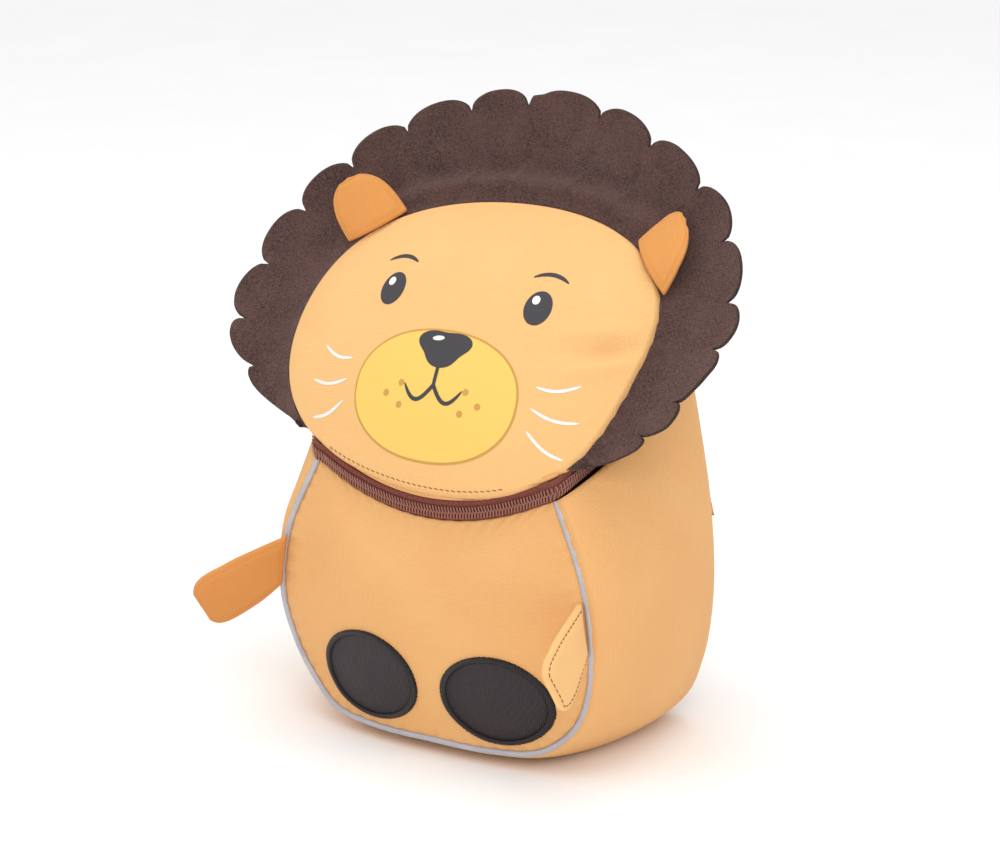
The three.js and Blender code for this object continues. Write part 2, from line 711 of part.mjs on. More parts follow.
// A closed ring of cloth whose thickness runs straight back
function ringSheet(grid, thickness) {
  const columns = grid[0].length;
  const outer = grid.flat();
  const inner = outer.map((p) => p.clone().addScaledVector(backward, thickness));
  const at = (i, j) => (i % grid.length) * columns + j;
  const triangles = [];
  const quad = (a, b, c, d) => triangles.push([a, b, c], [a, c, d]);
  const lower = (index) => index + outer.length;
  for (let i = 0; i < grid.length; i += 1) {
    for (let j = 0; j < columns - 1; j += 1) {
      quad(at(i, j), at(i, j + 1), at(i + 1, j + 1), at(i + 1, j));
      quad(lower(at(i, j)), lower(at(i + 1, j)), lower(at(i + 1, j + 1)), lower(at(i, j + 1)));
    }
    quad(at(i, 0), at(i + 1, 0), lower(at(i + 1, 0)), lower(at(i, 0)));
    const edge = columns - 1;
    quad(at(i, edge), lower(at(i, edge)), lower(at(i + 1, edge)), at(i + 1, edge));
  }
  return geometryOf([...outer, ...inner], triangles);
}

// Carrying straps on the rear face of the back panel

// A strip of webbing or padding through points of a curve, its breadth along one direction
function strip(curve, breadth, width, thickness, steps) {
  const grid = [];
  for (let i = 0; i <= steps; i += 1) {
    const p = curve.getPoint(i / steps);
    grid.push([-0.5, 0.5].map((share) => p.clone().addScaledVector(breadth, share * width)));
  }
  return sheet(grid, thickness, { flip: true });
}

function buildShoulderStrap(name, side) {
  const seat = rearFace + 2.5 * clearance;
  const drop = strapTopHeight - strapFootHeight;
  const split = 0.42; // share of the drop at which the padding gives way to webbing
  const xAt = (share) => side * (strapTopSpread + (strapFootSpread - strapTopSpread) * share ** 1.4);
  const point = (share, stand) => vec(xAt(share), seat + stand, strapTopHeight - drop * share);
  const bow = (share) => strapBow * Math.sin(Math.PI * THREE.MathUtils.clamp((share - 0.07) / 0.84, 0, 1)) ** 0.8;
  const curveOf = (shares, lift) => new THREE.CatmullRomCurve3(
    shares.map((share) => point(share, bow(share) + lift(share))), false, 'centripetal');
  const webLift = (share) => webThickness + (1 - share) * (strapThickness - webThickness);
  const padCurve = curveOf([0, 0.07, 0.15, 0.25, 0.35, split + 0.08], () => strapThickness);
  const webCurve = curveOf([split + 0.17, 0.68, 0.77, 0.85, 0.91, 1], webLift);
  const across = vec(1, 0, 0);
  add(`${name}_pad`, strip(padCurve, across, strapWidth, strapThickness, 14), cloth);
  add(`${name}_web`, strip(webCurve, across, webWidth, webThickness, 14), webbing);

  const low = padCurve.getPoint(1);
  const high = webCurve.getPoint(0);
  const run = high.clone().sub(low).setX(0).normalize();
  const buckle = new THREE.BoxGeometry(webWidth + 6, strapThickness * 0.6, low.distanceTo(high) - buckleGap);
  const middle = low.clone().lerp(high, 0.5);
  middle.y -= strapThickness * 0.3;
  buckle.applyMatrix4(new THREE.Matrix4().makeBasis(across, run.clone().cross(across), run).setPosition(middle));
  add(`${name}_buckle`, buckle, moulded);
}

function buildCarryLoop() {
  const seat = rearFace + 2 * clearance + webThickness;
  const points = [-1, -0.8, -0.6, -0.3, 0, 0.3, 0.6, 0.8, 1].map((share) => {
    const rise = Math.max(0, 1 - (share / 0.72) ** 2);
    return vec(share * (loopSpan / 2), seat + loopBow * Math.sqrt(rise), loopHeight);
  });
  const curve = new THREE.CatmullRomCurve3(points, false, 'centripetal');
  add('carry_loop', strip(curve, vec(0, 0, 1), webWidth, webThickness, 20), webbing);
}

buildPouch();
buildPiping();
buildZip();
buildHead();
buildMane();
buildEar('ear_right', -1);
buildEar('ear_left', 1);
armPoses.forEach(buildArm);
buildFoot('foot_right', -1);
buildFoot('foot_left', 1);
buildShoulderStrap('strap_right', -1);
buildShoulderStrap('strap_left', 1);
buildCarryLoop();

export default lion;
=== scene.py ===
"""Dressed model of a small child's rucksack shaped as a sitting lion.

The forms repeat the sewing pattern of the CAD part in millimetres, and every mesh is written in metres in the same
frame: the lion faces -Y and stands on z = 0.
"""

from __future__ import annotations

import logging
import math
from collections.abc import Iterable, Sequence
from dataclasses import dataclass, field
from enum import Enum

import bpy
import numpy as np
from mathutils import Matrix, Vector, noise

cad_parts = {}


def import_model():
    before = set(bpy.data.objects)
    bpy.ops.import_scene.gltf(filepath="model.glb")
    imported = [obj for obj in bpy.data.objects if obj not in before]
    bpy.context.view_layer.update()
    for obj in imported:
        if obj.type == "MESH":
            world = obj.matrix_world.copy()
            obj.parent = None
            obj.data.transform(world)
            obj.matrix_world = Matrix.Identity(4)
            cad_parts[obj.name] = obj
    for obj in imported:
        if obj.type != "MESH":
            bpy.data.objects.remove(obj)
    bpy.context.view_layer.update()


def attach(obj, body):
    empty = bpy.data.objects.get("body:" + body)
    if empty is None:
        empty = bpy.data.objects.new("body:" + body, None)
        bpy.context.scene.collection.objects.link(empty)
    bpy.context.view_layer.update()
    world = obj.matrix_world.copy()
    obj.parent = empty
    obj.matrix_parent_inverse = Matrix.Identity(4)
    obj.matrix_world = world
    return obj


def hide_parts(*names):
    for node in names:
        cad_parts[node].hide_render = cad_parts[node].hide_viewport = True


LOG = logging.getLogger("lion_backpack")
MM = 0.001
Array = np.ndarray


class Side(Enum):
    """The lion's own right and left; its right is on the viewer's left."""

    RIGHT = -1
    LEFT = 1


# Small vector helpers


def vec(x: float, y: float, z: float) -> Array:
    """A point or direction in millimetres."""
    return np.array([x, y, z], float)


def unit(v: Array) -> Array:
    """The vector, or each row of vectors, at length one."""
    return v / np.maximum(np.linalg.norm(v, axis=-1, keepdims=True), 1e-9)


def soft_noise(points: Array, scale: float, seed: float) -> Array:
    """Smooth noise from about -1 to 1 at each point.

    Args:
        points: Points in millimetres, one per row.
        scale: Size of the noise's lumps in millimetres.
        seed: Shift that makes one piece's noise differ from another's.

    Returns:
        One value per point.
    """
    flat = points.reshape(-1, 3) / scale + seed
    values = [noise.noise(Vector(p)) for p in flat]
    return np.array(values).reshape(points.shape[:-1])


def smoothstep(low: float, high: float, value: Array | float) -> Array | float:
    """Rises smoothly from 0 at low to 1 at high."""
    t = np.clip((value - low) / (high - low), 0, 1)
    return t * t * (3 - 2 * t)


@dataclass
class Spline:
    """Centripetal curve through points, the same one that the CAD part's seams follow."""

    points: Array

    def at(self, share: float) -> Array:
        """The point at a share of the curve, from 0 to 1.

        Args:
            share: Share of the curve's spans.

        Returns:
            The point.
        """
        pts = self.points
        last = len(pts) - 1
        place = last * share
        i = max(0, min(int(place), last - 1))
        w = place - i
        p1, p2 = pts[i], pts[i + 1]
        p0 = pts[i - 1] if i > 0 else 2 * pts[0] - pts[1]
        p3 = pts[i + 2] if i + 2 <= last else 2 * pts[last] - pts[last - 1]
        d0, d1, d2 = (max(np.linalg.norm(b - a) ** 0.5, 1e-4) for a, b in ((p0, p1), (p1, p2), (p2, p3)))
        t1 = ((p1 - p0) / d0 - (p2 - p0) / (d0 + d1) + (p2 - p1) / d1) * d1
        t2 = ((p2 - p1) / d1 - (p3 - p1) / (d1 + d2) + (p3 - p2) / d2) * d1
        return p1 + t1 * w + (-3 * p1 + 3 * p2 - 2 * t1 - t2) * w**2 + (2 * p1 - 2 * p2 + t1 + t2) * w**3

    def tangent(self, share: float) -> Array:
        """Direction of the curve at a share of it."""
        step = 1e-4
        return unit(self.at(min(1, share + step)) - self.at(max(0, share - step)))

    def line(self, count: int) -> Array:
        """Points at count + 1 even shares."""
        return np.array([self.at(i / count) for i in range(count + 1)])


# The sewing pattern


@dataclass
class PouchForm:
    """Sizes and surfaces of the pouch: belly, gusset, back panel and neck."""

    belly_half: float = 95
    seam_top: float = 148
    front_reach: float = 50
    back_reach: float = 58
    back_top: float = 190
    belly_bulge: float = 14
    belly_centre: float = 70
    neck_dip: float = 19
    neck_lead: float = 6
    side_bulge: float = 7
    piping_radius: float = 2.2
    clearance: float = 0.3
    back_thickness: float = 5
    hinge_rise: float = 10
    neck_lean: float = 0.3
    zip_end: float = 0.95
    # across, up, forward of the front seam, then across and up of the rear corner
    rows: tuple[tuple[float, ...], ...] = (
        (0.0, 0.06, 1.12, 0.0, 0.0),
        (0.36, 0.06, 1.09, 0.36, 0.0),
        (0.66, 0.085, 1.0, 0.68, 0.0),
        (0.84, 0.18, 0.93, 0.91, 0.07),
        (0.94, 0.32, 0.98, 1.03, 0.2),
        (0.98, 0.5, 1.07, 1.08, 0.4),
        (0.93, 0.73, 1.08, 1.05, 0.65),
        (0.75, 1.0, 1.02, 0.92, 1.0),
    )

    def __post_init__(self) -> None:
        """Lays out the seams and the neck."""
        mirror = vec(-1, 1, 1)
        front = [vec(a * self.belly_half, -f * self.front_reach, u * self.seam_top) for a, u, f, _, _ in self.rows]
        back = [vec(a * self.belly_half, self.back_reach, u * self.back_top) for _, _, _, a, u in self.rows]
        self.front = Spline(np.array([p * mirror for p in front[:0:-1]] + front))
        self.back = Spline(np.array([p * mirror for p in back[:0:-1]] + back))
        self.seam_end = front[-1]
        self.back_end = back[-1]
        self.piping_reach = self.piping_radius + self.clearance
        self.rear_face = self.back_reach + self.clearance + self.back_thickness
        samples = 8
        half = [self.belly_edge(i / samples) for i in range(samples)]
        half += [self.gusset_line(1, np.array([i / samples]))[0] for i in range(samples + 1)]
        self.neck = Spline(np.array([p * mirror for p in half[:0:-1]] + half))
        self._fit_belly()

    def belly_edge(self, share: float) -> Array:
        """The belly's upper edge, from -1 at its left end to 1 at its right.

        Args:
            share: Place along the edge.

        Returns:
            The point.
        """
        fall = 1 - share * share
        end = self.seam_end
        return vec(share * end[0], end[1] - self.neck_lead * fall, end[2] - self.neck_dip * fall)

    def hinge_edge(self, share: float) -> Array:
        """The back panel's upper edge, from -1 to 1."""
        end = self.back_end
        return vec(share * end[0], self.back_reach, end[2] + self.hinge_rise * (1 - share * share))

    def gusset_line(self, along: float, across: Array) -> Array:
        """Points of the gusset from the front seam to the rear at one share of the seam.

        Args:
            along: Share of the seam.
            across: Shares from the front seam to the rear.

        Returns:
            One point per share across.
        """
        front, back = self.front.at(along), self.back.at(along)
        tangent = self.front.tangent(along)
        outward = unit(vec(tangent[2], 0, -tangent[0]))
        swell = self.side_bulge * np.maximum(0, np.sin(np.pi * across)) ** 0.7
        points = front + (back - front) * across[:, None] + outward * swell[:, None]
        points[:, 2] = np.maximum(points[:, 2], 0)
        return points

    def neck_frame(self, share: float) -> tuple[Array, Array]:
        """Outward and upward directions of the zip at a share of the neck.

        Args:
            share: Share of the neck.

        Returns:
            Two unit vectors.
        """
        tangent = self.neck.tangent(share)
        outward = unit(vec(tangent[1], -tangent[0], 0))
        up = unit(vec(0, 0, 1) + outward * (-outward[1] * self.neck_lean))
        return outward, up

    def belly_loop(self, seam_steps: int, edge_steps: int, reach: float | None = None) -> Array:
        """The belly's boundary, counter-clockwise from the upper left.

        Args:
            seam_steps: Steps along the front seam.
            edge_steps: Steps along the neck.
            reach: How far inside the seam it lies; the CAD part's own distance where not given.

        Returns:
            Points of the closed boundary.
        """
        reach = self.piping_reach if reach is None else reach
        centre = vec(0, 0, self.belly_centre)
        loop = []
        for i in range(seam_steps + 1):
            p = self.front.at(i / seam_steps)
            inward = (centre - p) * vec(1, 0, 0 if i in (0, seam_steps) else 1)
            loop.append(p + unit(inward) * reach)
        for i in range(1, edge_steps):
            p = self.belly_edge(1 - 2 * i / edge_steps)
            loop.append(p * vec(1 - reach / self.seam_end[0], 1, 1))
        return np.array(loop)

    def _fit_belly(self) -> None:
        """Fits a smooth plate through the belly's edge and its blown-out middle."""
        loop = self.belly_loop(44, 14)
        count = len(loop)
        waves = np.fft.fft(loop[:, 1]) / count
        orders = np.abs(np.fft.fftfreq(count, 1 / count))
        knots = [loop[:, [0, 2]]]
        depths = [loop[:, 1]]
        centre = np.array([0.0, self.belly_centre])
        for ring in (0.3, 0.55, 0.8):
            values = np.fft.ifft(waves * count * ring**orders).real - self.belly_bulge * (1 - ring * ring)
            knots.append((centre + (loop[:, [0, 2]] - centre) * ring)[::3])
            depths.append(values[::3])
        knots.append(centre[None])
        depths.append(np.array([loop[:, 1].mean() - self.belly_bulge]))
        self._knots = np.concatenate(knots)
        values = np.concatenate(depths)
        n = len(self._knots)
        system = np.zeros((n + 3, n + 3))
        system[:n, :n] = self._kernel(self._knots) + np.eye(n) * 40
        system[:n, n:] = np.c_[np.ones(n), self._knots]
        system[n:, :n] = system[:n, n:].T
        self._weights = np.linalg.solve(system, np.r_[values, 0, 0, 0])

    def _kernel(self, spots: Array) -> Array:
        """Thin-plate kernel between spots and the belly's knots."""
        square = ((spots[:, None] - self._knots[None]) ** 2).sum(-1) + 1e-6
        return square * np.log(square)

    def belly_depth(self, x: Array, z: Array) -> Array:
        """The belly's y under points of the front view.

        Args:
            x: Places to the viewer's right.
            z: Heights.

        Returns:
            One depth per place.
        """
        spots = np.c_[np.ravel(x), np.ravel(z)]
        n = len(self._knots)
        values = self._kernel(spots) @ self._weights[:n] + np.c_[np.ones(len(spots)), spots] @ self._weights[n:]
        return values.reshape(np.shape(x))


@dataclass
class HeadForm:
    """Sizes and surfaces of the head: face, side band, mane."""

    pouch: PouchForm
    face_half_width: float = 107
    face_half_height: float = 80
    lean: float = math.radians(36)
    height: float = 209
    setback: float = -18
    face_bulge: float = 22
    nape_bulge: float = 9
    cloth_wall: float = 2.4
    mane_thickness: float = 2.4
    scallop_depth: float = 10
    mane_start: float = math.radians(-44)
    zip_height: float = 1.2 + 2 + 4.4 + 2.4 + 1.2
    collar_gap: float = 1.65
    # how the stuffed face departs from an oval: cosine and sine shares of its radius, once to four times round
    face_waves: tuple[tuple[float, float], ...] = (
        (-0.0194, 0.0391),
        (-0.0308, 0.0201),
        (-0.0238, 0.0071),
        (-0.0245, 0.0089),
    )
    # place across and along, turn in degrees, length, width and depth of each fold; the first three are the cheek's
    cheek_folds: tuple[tuple[float, ...], ...] = (
        (88, 8, 200, 22, 4.0, -3.6),
        (84, 17, 196, 24, 4.8, 2.6),
        (86, -1, 205, 20, 4.4, 2.2),
        (-80, 36, 35, 16, 5, -0.7),
        (62, 44, 128, 14, 4, -0.7),
        (-92, -8, 160, 12, 4, -0.6),
        (40, -62, 20, 18, 4, -0.6),
        (-46, -58, -24, 18, 4, -0.6),
    )
    # shares of the mane's length at which one scallop ends and the next begins, from its right end over the top
    mane_valleys: tuple[float, ...] = (
        0, 0.069, 0.119, 0.194, 0.244, 0.3, 0.35, 0.4, 0.45,
        0.506, 0.556, 0.612, 0.663, 0.719, 0.781, 0.856, 0.913, 1,
    )
    # turn, width, then the directions out, back and up at the root and at the tip
    mane_rows: tuple[tuple[float, ...], ...] = (
        (0.0, 6.0, 0.8, 0.4, 0.1, 0.9, 0.2, 0.0),
        (0.1, 25.5, 0.8, 0.4, 0.0, 0.9, -0.14, -0.18),
        (0.24, 41.2, 0.85, 0.45, 0.0, 0.95, -0.8, 0.44),
        (0.42, 48.4, 0.8, 0.55, 0.1, 0.95, -0.22, 0.22),
        (0.62, 48.9, 0.6, 0.7, 0.4, 0.8, -0.13, 0.72),
        (0.82, 58.7, 0.25, 0.8, 0.6, 0.35, -0.07, 1.04),
        (1.0, 64.8, 0.0, 0.8, 0.6, 0.0, -0.05, 0.99),
    )

    def __post_init__(self) -> None:
        """Sets the face's own directions."""
        self.middle = vec(0, self.setback, self.height)
        self.up = vec(0, math.sin(self.lean), math.cos(self.lean))
        self.out = vec(0, -math.cos(self.lean), math.sin(self.lean))
        self.mane_seat = self.cloth_wall + self.pouch.clearance

    def skin(self, across: Array, along: Array, lift: float = 0.0) -> Array:
        """Points of the face's outer skin.

        Args:
            across: Places to the viewer's right of the face's middle, in millimetres.
            along: Places up the face's own slope, in millimetres.
            lift: How far above the skin.

        Returns:
            One point per pair of places.
        """
        across, along = np.asarray(across, float), np.asarray(along, float)
        x, y = across / self.face_half_width, along / self.face_half_height
        ring = np.hypot(x, y) / self.reach(np.arctan2(y, x))
        height = self.face_bulge * (1 - ring**2.4) + lift + self.face_folds(across, along, ring)
        x = vec(1, 0, 0)
        return self.middle + across[..., None] * x + along[..., None] * self.up + height[..., None] * self.out

    def face_folds(self, across: Array, along: Array, ring: Array) -> Array:
        """Height of the face's soft folds, chiefly the two that run in from the seam at the cheek.

        Args:
            across: Places across the face.
            along: Places up its slope.
            ring: How near each is to the seam, 1 on it.

        Returns:
            One height per place.
        """

        def fold(a: float, b: float, turn: float, length: float, width: float, depth: float) -> Array:
            """One long dent or ridge around a point.

            Args:
                a: Its middle across the face.
                b: Its middle up the slope.
                turn: Its turn in degrees.
                length: Half its length.
                width: Half its width.
                depth: Its height, negative for a dent.

            Returns:
                One height per place.
            """
            c, s = math.cos(math.radians(turn)), math.sin(math.radians(turn))
            u = ((across - a) * c + (along - b) * s) / length
            v = (-(across - a) * s + (along - b) * c) / width
            return depth * np.exp(-u * u - v * v)

        rim = np.clip((1.0 - ring) * 6, 0, 1)
        return sum(fold(*shape) for shape in self.cheek_folds) * rim

    def reach(self, angle: Array | float) -> Array | float:
        """The face's radius at an angle, as a share of the oval's."""
        waves = enumerate(self.face_waves, 1)
        return 1 + sum(c * np.cos(k * angle) + s * np.sin(k * angle) for k, (c, s) in waves)

    def seam(self, angle: float) -> Array:
        """A point of the face's seam.

        Args:
            angle: Angle round the face's middle.

        Returns:
            The point.
        """
        across = self.face_half_width * math.cos(angle) * self.reach(angle)
        along = self.face_half_height * math.sin(angle) * self.reach(angle)
        return self.middle + across * vec(1, 0, 0) + along * self.up

    def mane_rib(self, share: float, shortened: float, rings: int) -> Array:
        """Points along the mane's cloth from the seam outwards.

        Args:
            share: Place along the mane, from its right end over the top to its left end.
            shortened: How much the scalloped edge takes off there.
            rings: Number of steps.

        Returns:
            rings + 1 points.
        """
        side = 1 if share <= 0.5 else -1
        turn = min(1.0, 2 * min(share, 1 - share))
        table = np.array(self.mane_rows)
        near = turn + np.linspace(-0.07, 0.07, 7)
        width, *ways = (np.interp(near, table[:, 0], table[:, k]).mean() for k in range(1, 8))
        root = unit(vec(side * ways[0], ways[1], ways[2]))
        tip = unit(vec(side * ways[3], ways[4], ways[5]))
        cut = min(shortened, width * 0.4)
        angle = self.mane_start + share * (math.pi - 2 * self.mane_start)
        point = self.seam(angle) - self.out * self.mane_seat
        row = [point]
        for ring in range(1, rings + 1):
            heading = unit(root + (tip - root) * ((ring - 0.5) / rings) ** 0.7)
            step = width / rings - cut * ((ring / rings) ** 4 - ((ring - 1) / rings) ** 4)
            point = point + heading * step
            row.append(point)
        return np.array(row)

    def band_seat(self, angle: float) -> float:
        """How far behind the face its side band starts.

        Args:
            angle: Angle round the face's middle.

        Returns:
            The distance.
        """
        past = (math.sin(angle) - math.sin(self.mane_start) + 0.12) / 0.12
        gap = self.pouch.clearance
        return self.mane_seat + 3 * gap + (self.mane_thickness + 3 * gap) * min(1.0, max(0.0, past))

    def collar(self) -> Array:
        """The zip's upper edge and the hinge as one closed line.

        Returns:
            Points of the closed line.
        """
        pouch, steps = self.pouch, 56
        half = []
        for i in range(steps):
            share = 0.5 + 0.5 * i / steps
            half.append(pouch.neck.at(share) + pouch.neck_frame(share)[1] * (self.zip_height + self.collar_gap))
        for share in (1, 0.75, 0.5, 0.25, 0):
            p = pouch.hinge_edge(share)
            half.append(vec(p[0], pouch.rear_face - pouch.clearance, p[2] + self.collar_gap))
        left = [p * vec(-1, 1, 1) for p in half[-2:0:-1]]
        return np.array(half + left + [half[0]])

    def band(self, columns: int, rows: int) -> Array:
        """Grid of the side band's outer skin: columns round the head, from the collar up to the face's seam.

        Args:
            columns: Columns round the head.
            rows: Steps up the wall.

        Returns:
            Points by column and row.
        """
        collar = self.collar()
        grid = []
        for k in range(columns):
            angle = 2 * math.pi * k / columns - math.pi / 2
            seam = self.seam(angle)
            way = seam - self.middle
            way = unit(vec(way[0], way[1], 0))
            low = self._collar_at(collar, way)
            high = seam - self.out * self.band_seat(angle)
            rear = max(0.0, math.sin(angle))
            share = np.linspace(0, 1, rows + 1)[:, None]
            grid.append(low + (high - low) * share + way * self.nape_bulge * rear * np.sin(np.pi * share))
        return np.array(grid)

    @staticmethod
    def _collar_at(collar: Array, way: Array) -> Array:
        """The collar's point in a plan direction.

        Args:
            collar: The collar's closed line.
            way: Plan direction from the middle.

        Returns:
            The point.
        """
        a, b = collar[:-1], collar[1:]
        det = way[0] * (b[:, 1] - a[:, 1]) - way[1] * (b[:, 0] - a[:, 0])
        share = (a[:, 0] * way[1] - a[:, 1] * way[0]) / np.where(np.abs(det) < 1e-9, 1e-9, det)
        p = a + (b - a) * share[:, None]
        good = (share >= 0) & (share <= 1) & (p[:, 0] * way[0] + p[:, 1] * way[1] > 0)
        return p[np.argmax(good)]


# Meshes


def build_object(
    name: str, points: Array, faces: Iterable[Sequence[int]], uv: Array | None = None
) -> bpy.types.Object:
    """Makes a smooth shaded object.

    Args:
        name: The piece's name.
        points: Points in millimetres, one per row.
        faces: Corner numbers of each face.
        uv: Places on the cloth in millimetres, one per corner of the faces in order.

    Returns:
        The new object, in metres.
    """
    mesh = bpy.data.meshes.new(name)
    mesh.from_pydata((np.asarray(points) * MM).tolist(), [], [tuple(map(int, f)) for f in faces])
    if uv is not None:
        layer = mesh.uv_layers.new(name="cloth")
        layer.data.foreach_set("uv", (np.asarray(uv) * MM).ravel())
    mesh.polygons.foreach_set("use_smooth", [True] * len(mesh.polygons))
    mesh.update()
    piece = bpy.data.objects.new(name, mesh)
    bpy.context.scene.collection.objects.link(piece)
    return piece


def run_lengths(grid: Array, axis: int) -> Array:
    """Mean distance run along one axis of a grid of points."""
    steps = np.linalg.norm(np.diff(grid, axis=axis), axis=2).mean(axis=1 - axis)
    return np.r_[0, np.cumsum(steps)]


def grid_faces(rows: int, columns: int, flip: bool = False) -> Array:
    """Quads of an open grid whose points are numbered row by row.

    Args:
        rows: Number of rows.
        columns: Points in a row.
        flip: Whether they look the other way.

    Returns:
        Four corner numbers for each face.
    """
    i, j = np.meshgrid(np.arange(rows - 1), np.arange(columns - 1), indexing="ij")
    a = (i * columns + j).ravel()
    quads = np.c_[a, a + 1, a + columns + 1, a + columns]
    return quads[:, ::-1] if flip else quads


def grid_object(name: str, grid: Array, wrap: bool = False, flip: bool = False) -> bpy.types.Object:
    """Makes a cloth object from a grid of points, with its real lengths as UVs.

    Args:
        name: The piece's name.
        grid: Points by row and column, in millimetres.
        wrap: Whether the last row joins the first.
        flip: Whether the faces look the other way.

    Returns:
        The new object.
    """
    full = np.concatenate([grid, grid[:1]]) if wrap else grid
    rows, columns = full.shape[:2]
    u, v = run_lengths(full, 0), run_lengths(full, 1)
    flat = np.stack(np.meshgrid(u, v, indexing="ij"), -1).reshape(-1, 2)
    faces = grid_faces(rows, columns, flip)
    uv = flat[faces.ravel()]
    if wrap:
        faces = faces % (grid.shape[0] * columns)
    return build_object(name, grid.reshape(-1, 3), faces, uv)


def disc_object(name: str, rings: Array, flip: bool = False, flat: Array | None = None) -> bpy.types.Object:
    """Makes a cloth object from closed rings, the first of which has shrunk to one point.

    Args:
        name: The piece's name.
        rings: Points by ring and place round it; the first ring is the middle, repeated.
        flip: Whether the faces look the other way.
        flat: Each point's place on the flat cloth; the front view where not given.

    Returns:
        The new object.
    """
    count = rings.shape[1]
    points = np.concatenate([rings[0][:1], rings[1:].reshape(-1, 3)])
    faces = []
    for k in range(count):
        faces.append((0, 1 + k, 1 + (k + 1) % count))
    for r in range(1, rings.shape[0] - 1):
        low, high = 1 + (r - 1) * count, 1 + r * count
        for k in range(count):
            n = (k + 1) % count
            faces.append((low + k, high + k, high + n, low + n))
    if flip:
        faces = [f[::-1] for f in faces]
    places = rings[..., [0, 2]] if flat is None else flat
    places = np.concatenate([places[0][:1], places[1:].reshape(-1, 2)])
    return build_object(name, points, faces, places[[i for f in faces for i in f]])


def tube_object(name: str, line: Array, shapes: Array, closed: bool = False) -> bpy.types.Object:
    """Sweeps rings of points along a line.

    Args:
        name: The piece's name.
        line: Points of the line, in millimetres.
        shapes: Ring of points at each point of the line.
        closed: Whether the line joins up.

    Returns:
        The new object; its UV runs along the line and round it.
    """
    rows, sides = shapes.shape[:2]
    rings = np.concatenate([shapes, shapes[:, :1]], axis=1)
    if closed:
        rings = np.concatenate([rings, rings[:1]])
    u = np.r_[0, np.cumsum(np.linalg.norm(np.diff(np.concatenate([line, line[:1]]), axis=0), axis=1))]
    v = run_lengths(rings, 1)
    flat = np.stack(np.meshgrid(u[: len(rings)], v, indexing="ij"), -1).reshape(-1, 2)
    faces = grid_faces(len(rings), sides + 1)
    uv = flat[faces.ravel()]
    i, j = np.divmod(faces, sides + 1)
    quads = (i % rows) * sides + j % sides
    faces = quads.tolist()
    if not closed:
        first, last = list(range(sides)), list(range((rows - 1) * sides, rows * sides))
        faces += [first, last[::-1]]
        uv = np.concatenate([uv, np.zeros((2 * sides, 2))])
    return build_object(name, shapes.reshape(-1, 3), faces, uv)


def frames_along(line: Array, outward: Array, closed: bool = False) -> tuple[Array, Array, Array]:
    """Tangent, outward and side directions along a line.

    Args:
        line: Points of the line.
        outward: Rough outward direction at each point, or one for all.
        closed: Whether the line joins up.

    Returns:
        Three arrays of unit vectors.
    """
    if closed:
        tangent = unit(np.roll(line, -1, axis=0) - np.roll(line, 1, axis=0))
    else:
        tangent = unit(np.gradient(line, axis=0))
    outward = np.broadcast_to(outward, line.shape)
    normal = unit(outward - (outward * tangent).sum(1, keepdims=True) * tangent)
    return tangent, normal, np.cross(tangent, normal)


def cord_object(
    name: str, line: Array, outward: Array, half_wide: float, half_high: float, sides: int = 10, closed: bool = False
) -> bpy.types.Object:
    """Sweeps an oval along a line.

    Args:
        name: The piece's name.
        line: Points of the line, in millimetres.
        outward: Rough outward direction, along which half_high counts.
        half_wide: Half width across the line.
        half_high: Half height.
        sides: Facets round the oval.
        closed: Whether the line joins up.

    Returns:
        The new object.
    """
    _, normal, side = frames_along(line, outward, closed)
    turn = np.linspace(0, 2 * np.pi, sides, endpoint=False)
    oval = np.cos(turn)[None, :, None] * normal[:, None] * half_high
    oval = oval + np.sin(turn)[None, :, None] * side[:, None] * half_wide
    return tube_object(name, line, line[:, None] + oval, closed)


def resample(line: Array, spacing: float, closed: bool = False) -> Array:
    """Points at an even spacing along a line.

    Args:
        line: Points of the line, in millimetres.
        spacing: Rough distance between the new points.
        closed: Whether the line joins up.

    Returns:
        The new points.
    """
    full = np.concatenate([line, line[:1]]) if closed else line
    run = np.r_[0, np.cumsum(np.linalg.norm(np.diff(full, axis=0), axis=1))]
    count = max(2, round(run[-1] / spacing))
    at = np.linspace(0, run[-1], count + 1)
    points = np.stack([np.interp(at, run, full[:, k]) for k in range(3)], -1)
    return points[:-1] if closed else points


def stitch_object(
    name: str, line: Array, outward: Array, pitch: float = 3.2, length: float = 2.4, radius: float = 0.32,
    closed: bool = False, slant: float = 0.0,
) -> bpy.types.Object:
    """Sews a row of thread stitches along a line.

    Args:
        name: The piece's name.
        line: The seam's points, in millimetres.
        outward: Rough direction away from the cloth, at each point or for all.
        pitch: Distance from stitch to stitch.
        length: Length of a stitch.
        radius: Half thickness of the thread.
        closed: Whether the seam joins up.
        slant: How far each stitch leans across the seam, in millimetres.

    Returns:
        One object that holds every stitch.
    """
    run_out = np.broadcast_to(outward, line.shape)
    seats = resample(line, pitch, closed)
    nearest = np.argmin(((seats[:, None] - line[None]) ** 2).sum(-1), axis=1)
    tangent, normal, side = frames_along(seats, run_out[nearest], closed)
    turn = np.linspace(0, 2 * np.pi, 6, endpoint=False)
    points, faces = [], []
    stations = ((-0.5, 0.35, -0.6), (-0.36, 0.95, 0.1), (0.0, 1.0, 0.55), (0.36, 0.95, 0.1), (0.5, 0.35, -0.6))
    for p, t, n, s in zip(seats, tangent, normal, side):
        base = len(points)
        for place, girth, rise in stations:
            centre = p + t * place * length + s * place * slant + n * rise * radius
            points += [centre + (math.cos(a) * n + math.sin(a) * s) * girth * radius for a in turn]
        for r in range(4):
            for k in range(6):
                m = (k + 1) % 6
                faces.append((base + r * 6 + k, base + r * 6 + m, base + r * 6 + 6 + m, base + r * 6 + 6 + k))
        faces.append(tuple(base + k for k in range(5, -1, -1)))
        faces.append(tuple(base + 24 + k for k in range(6)))
    return build_object(name, np.array(points), faces)


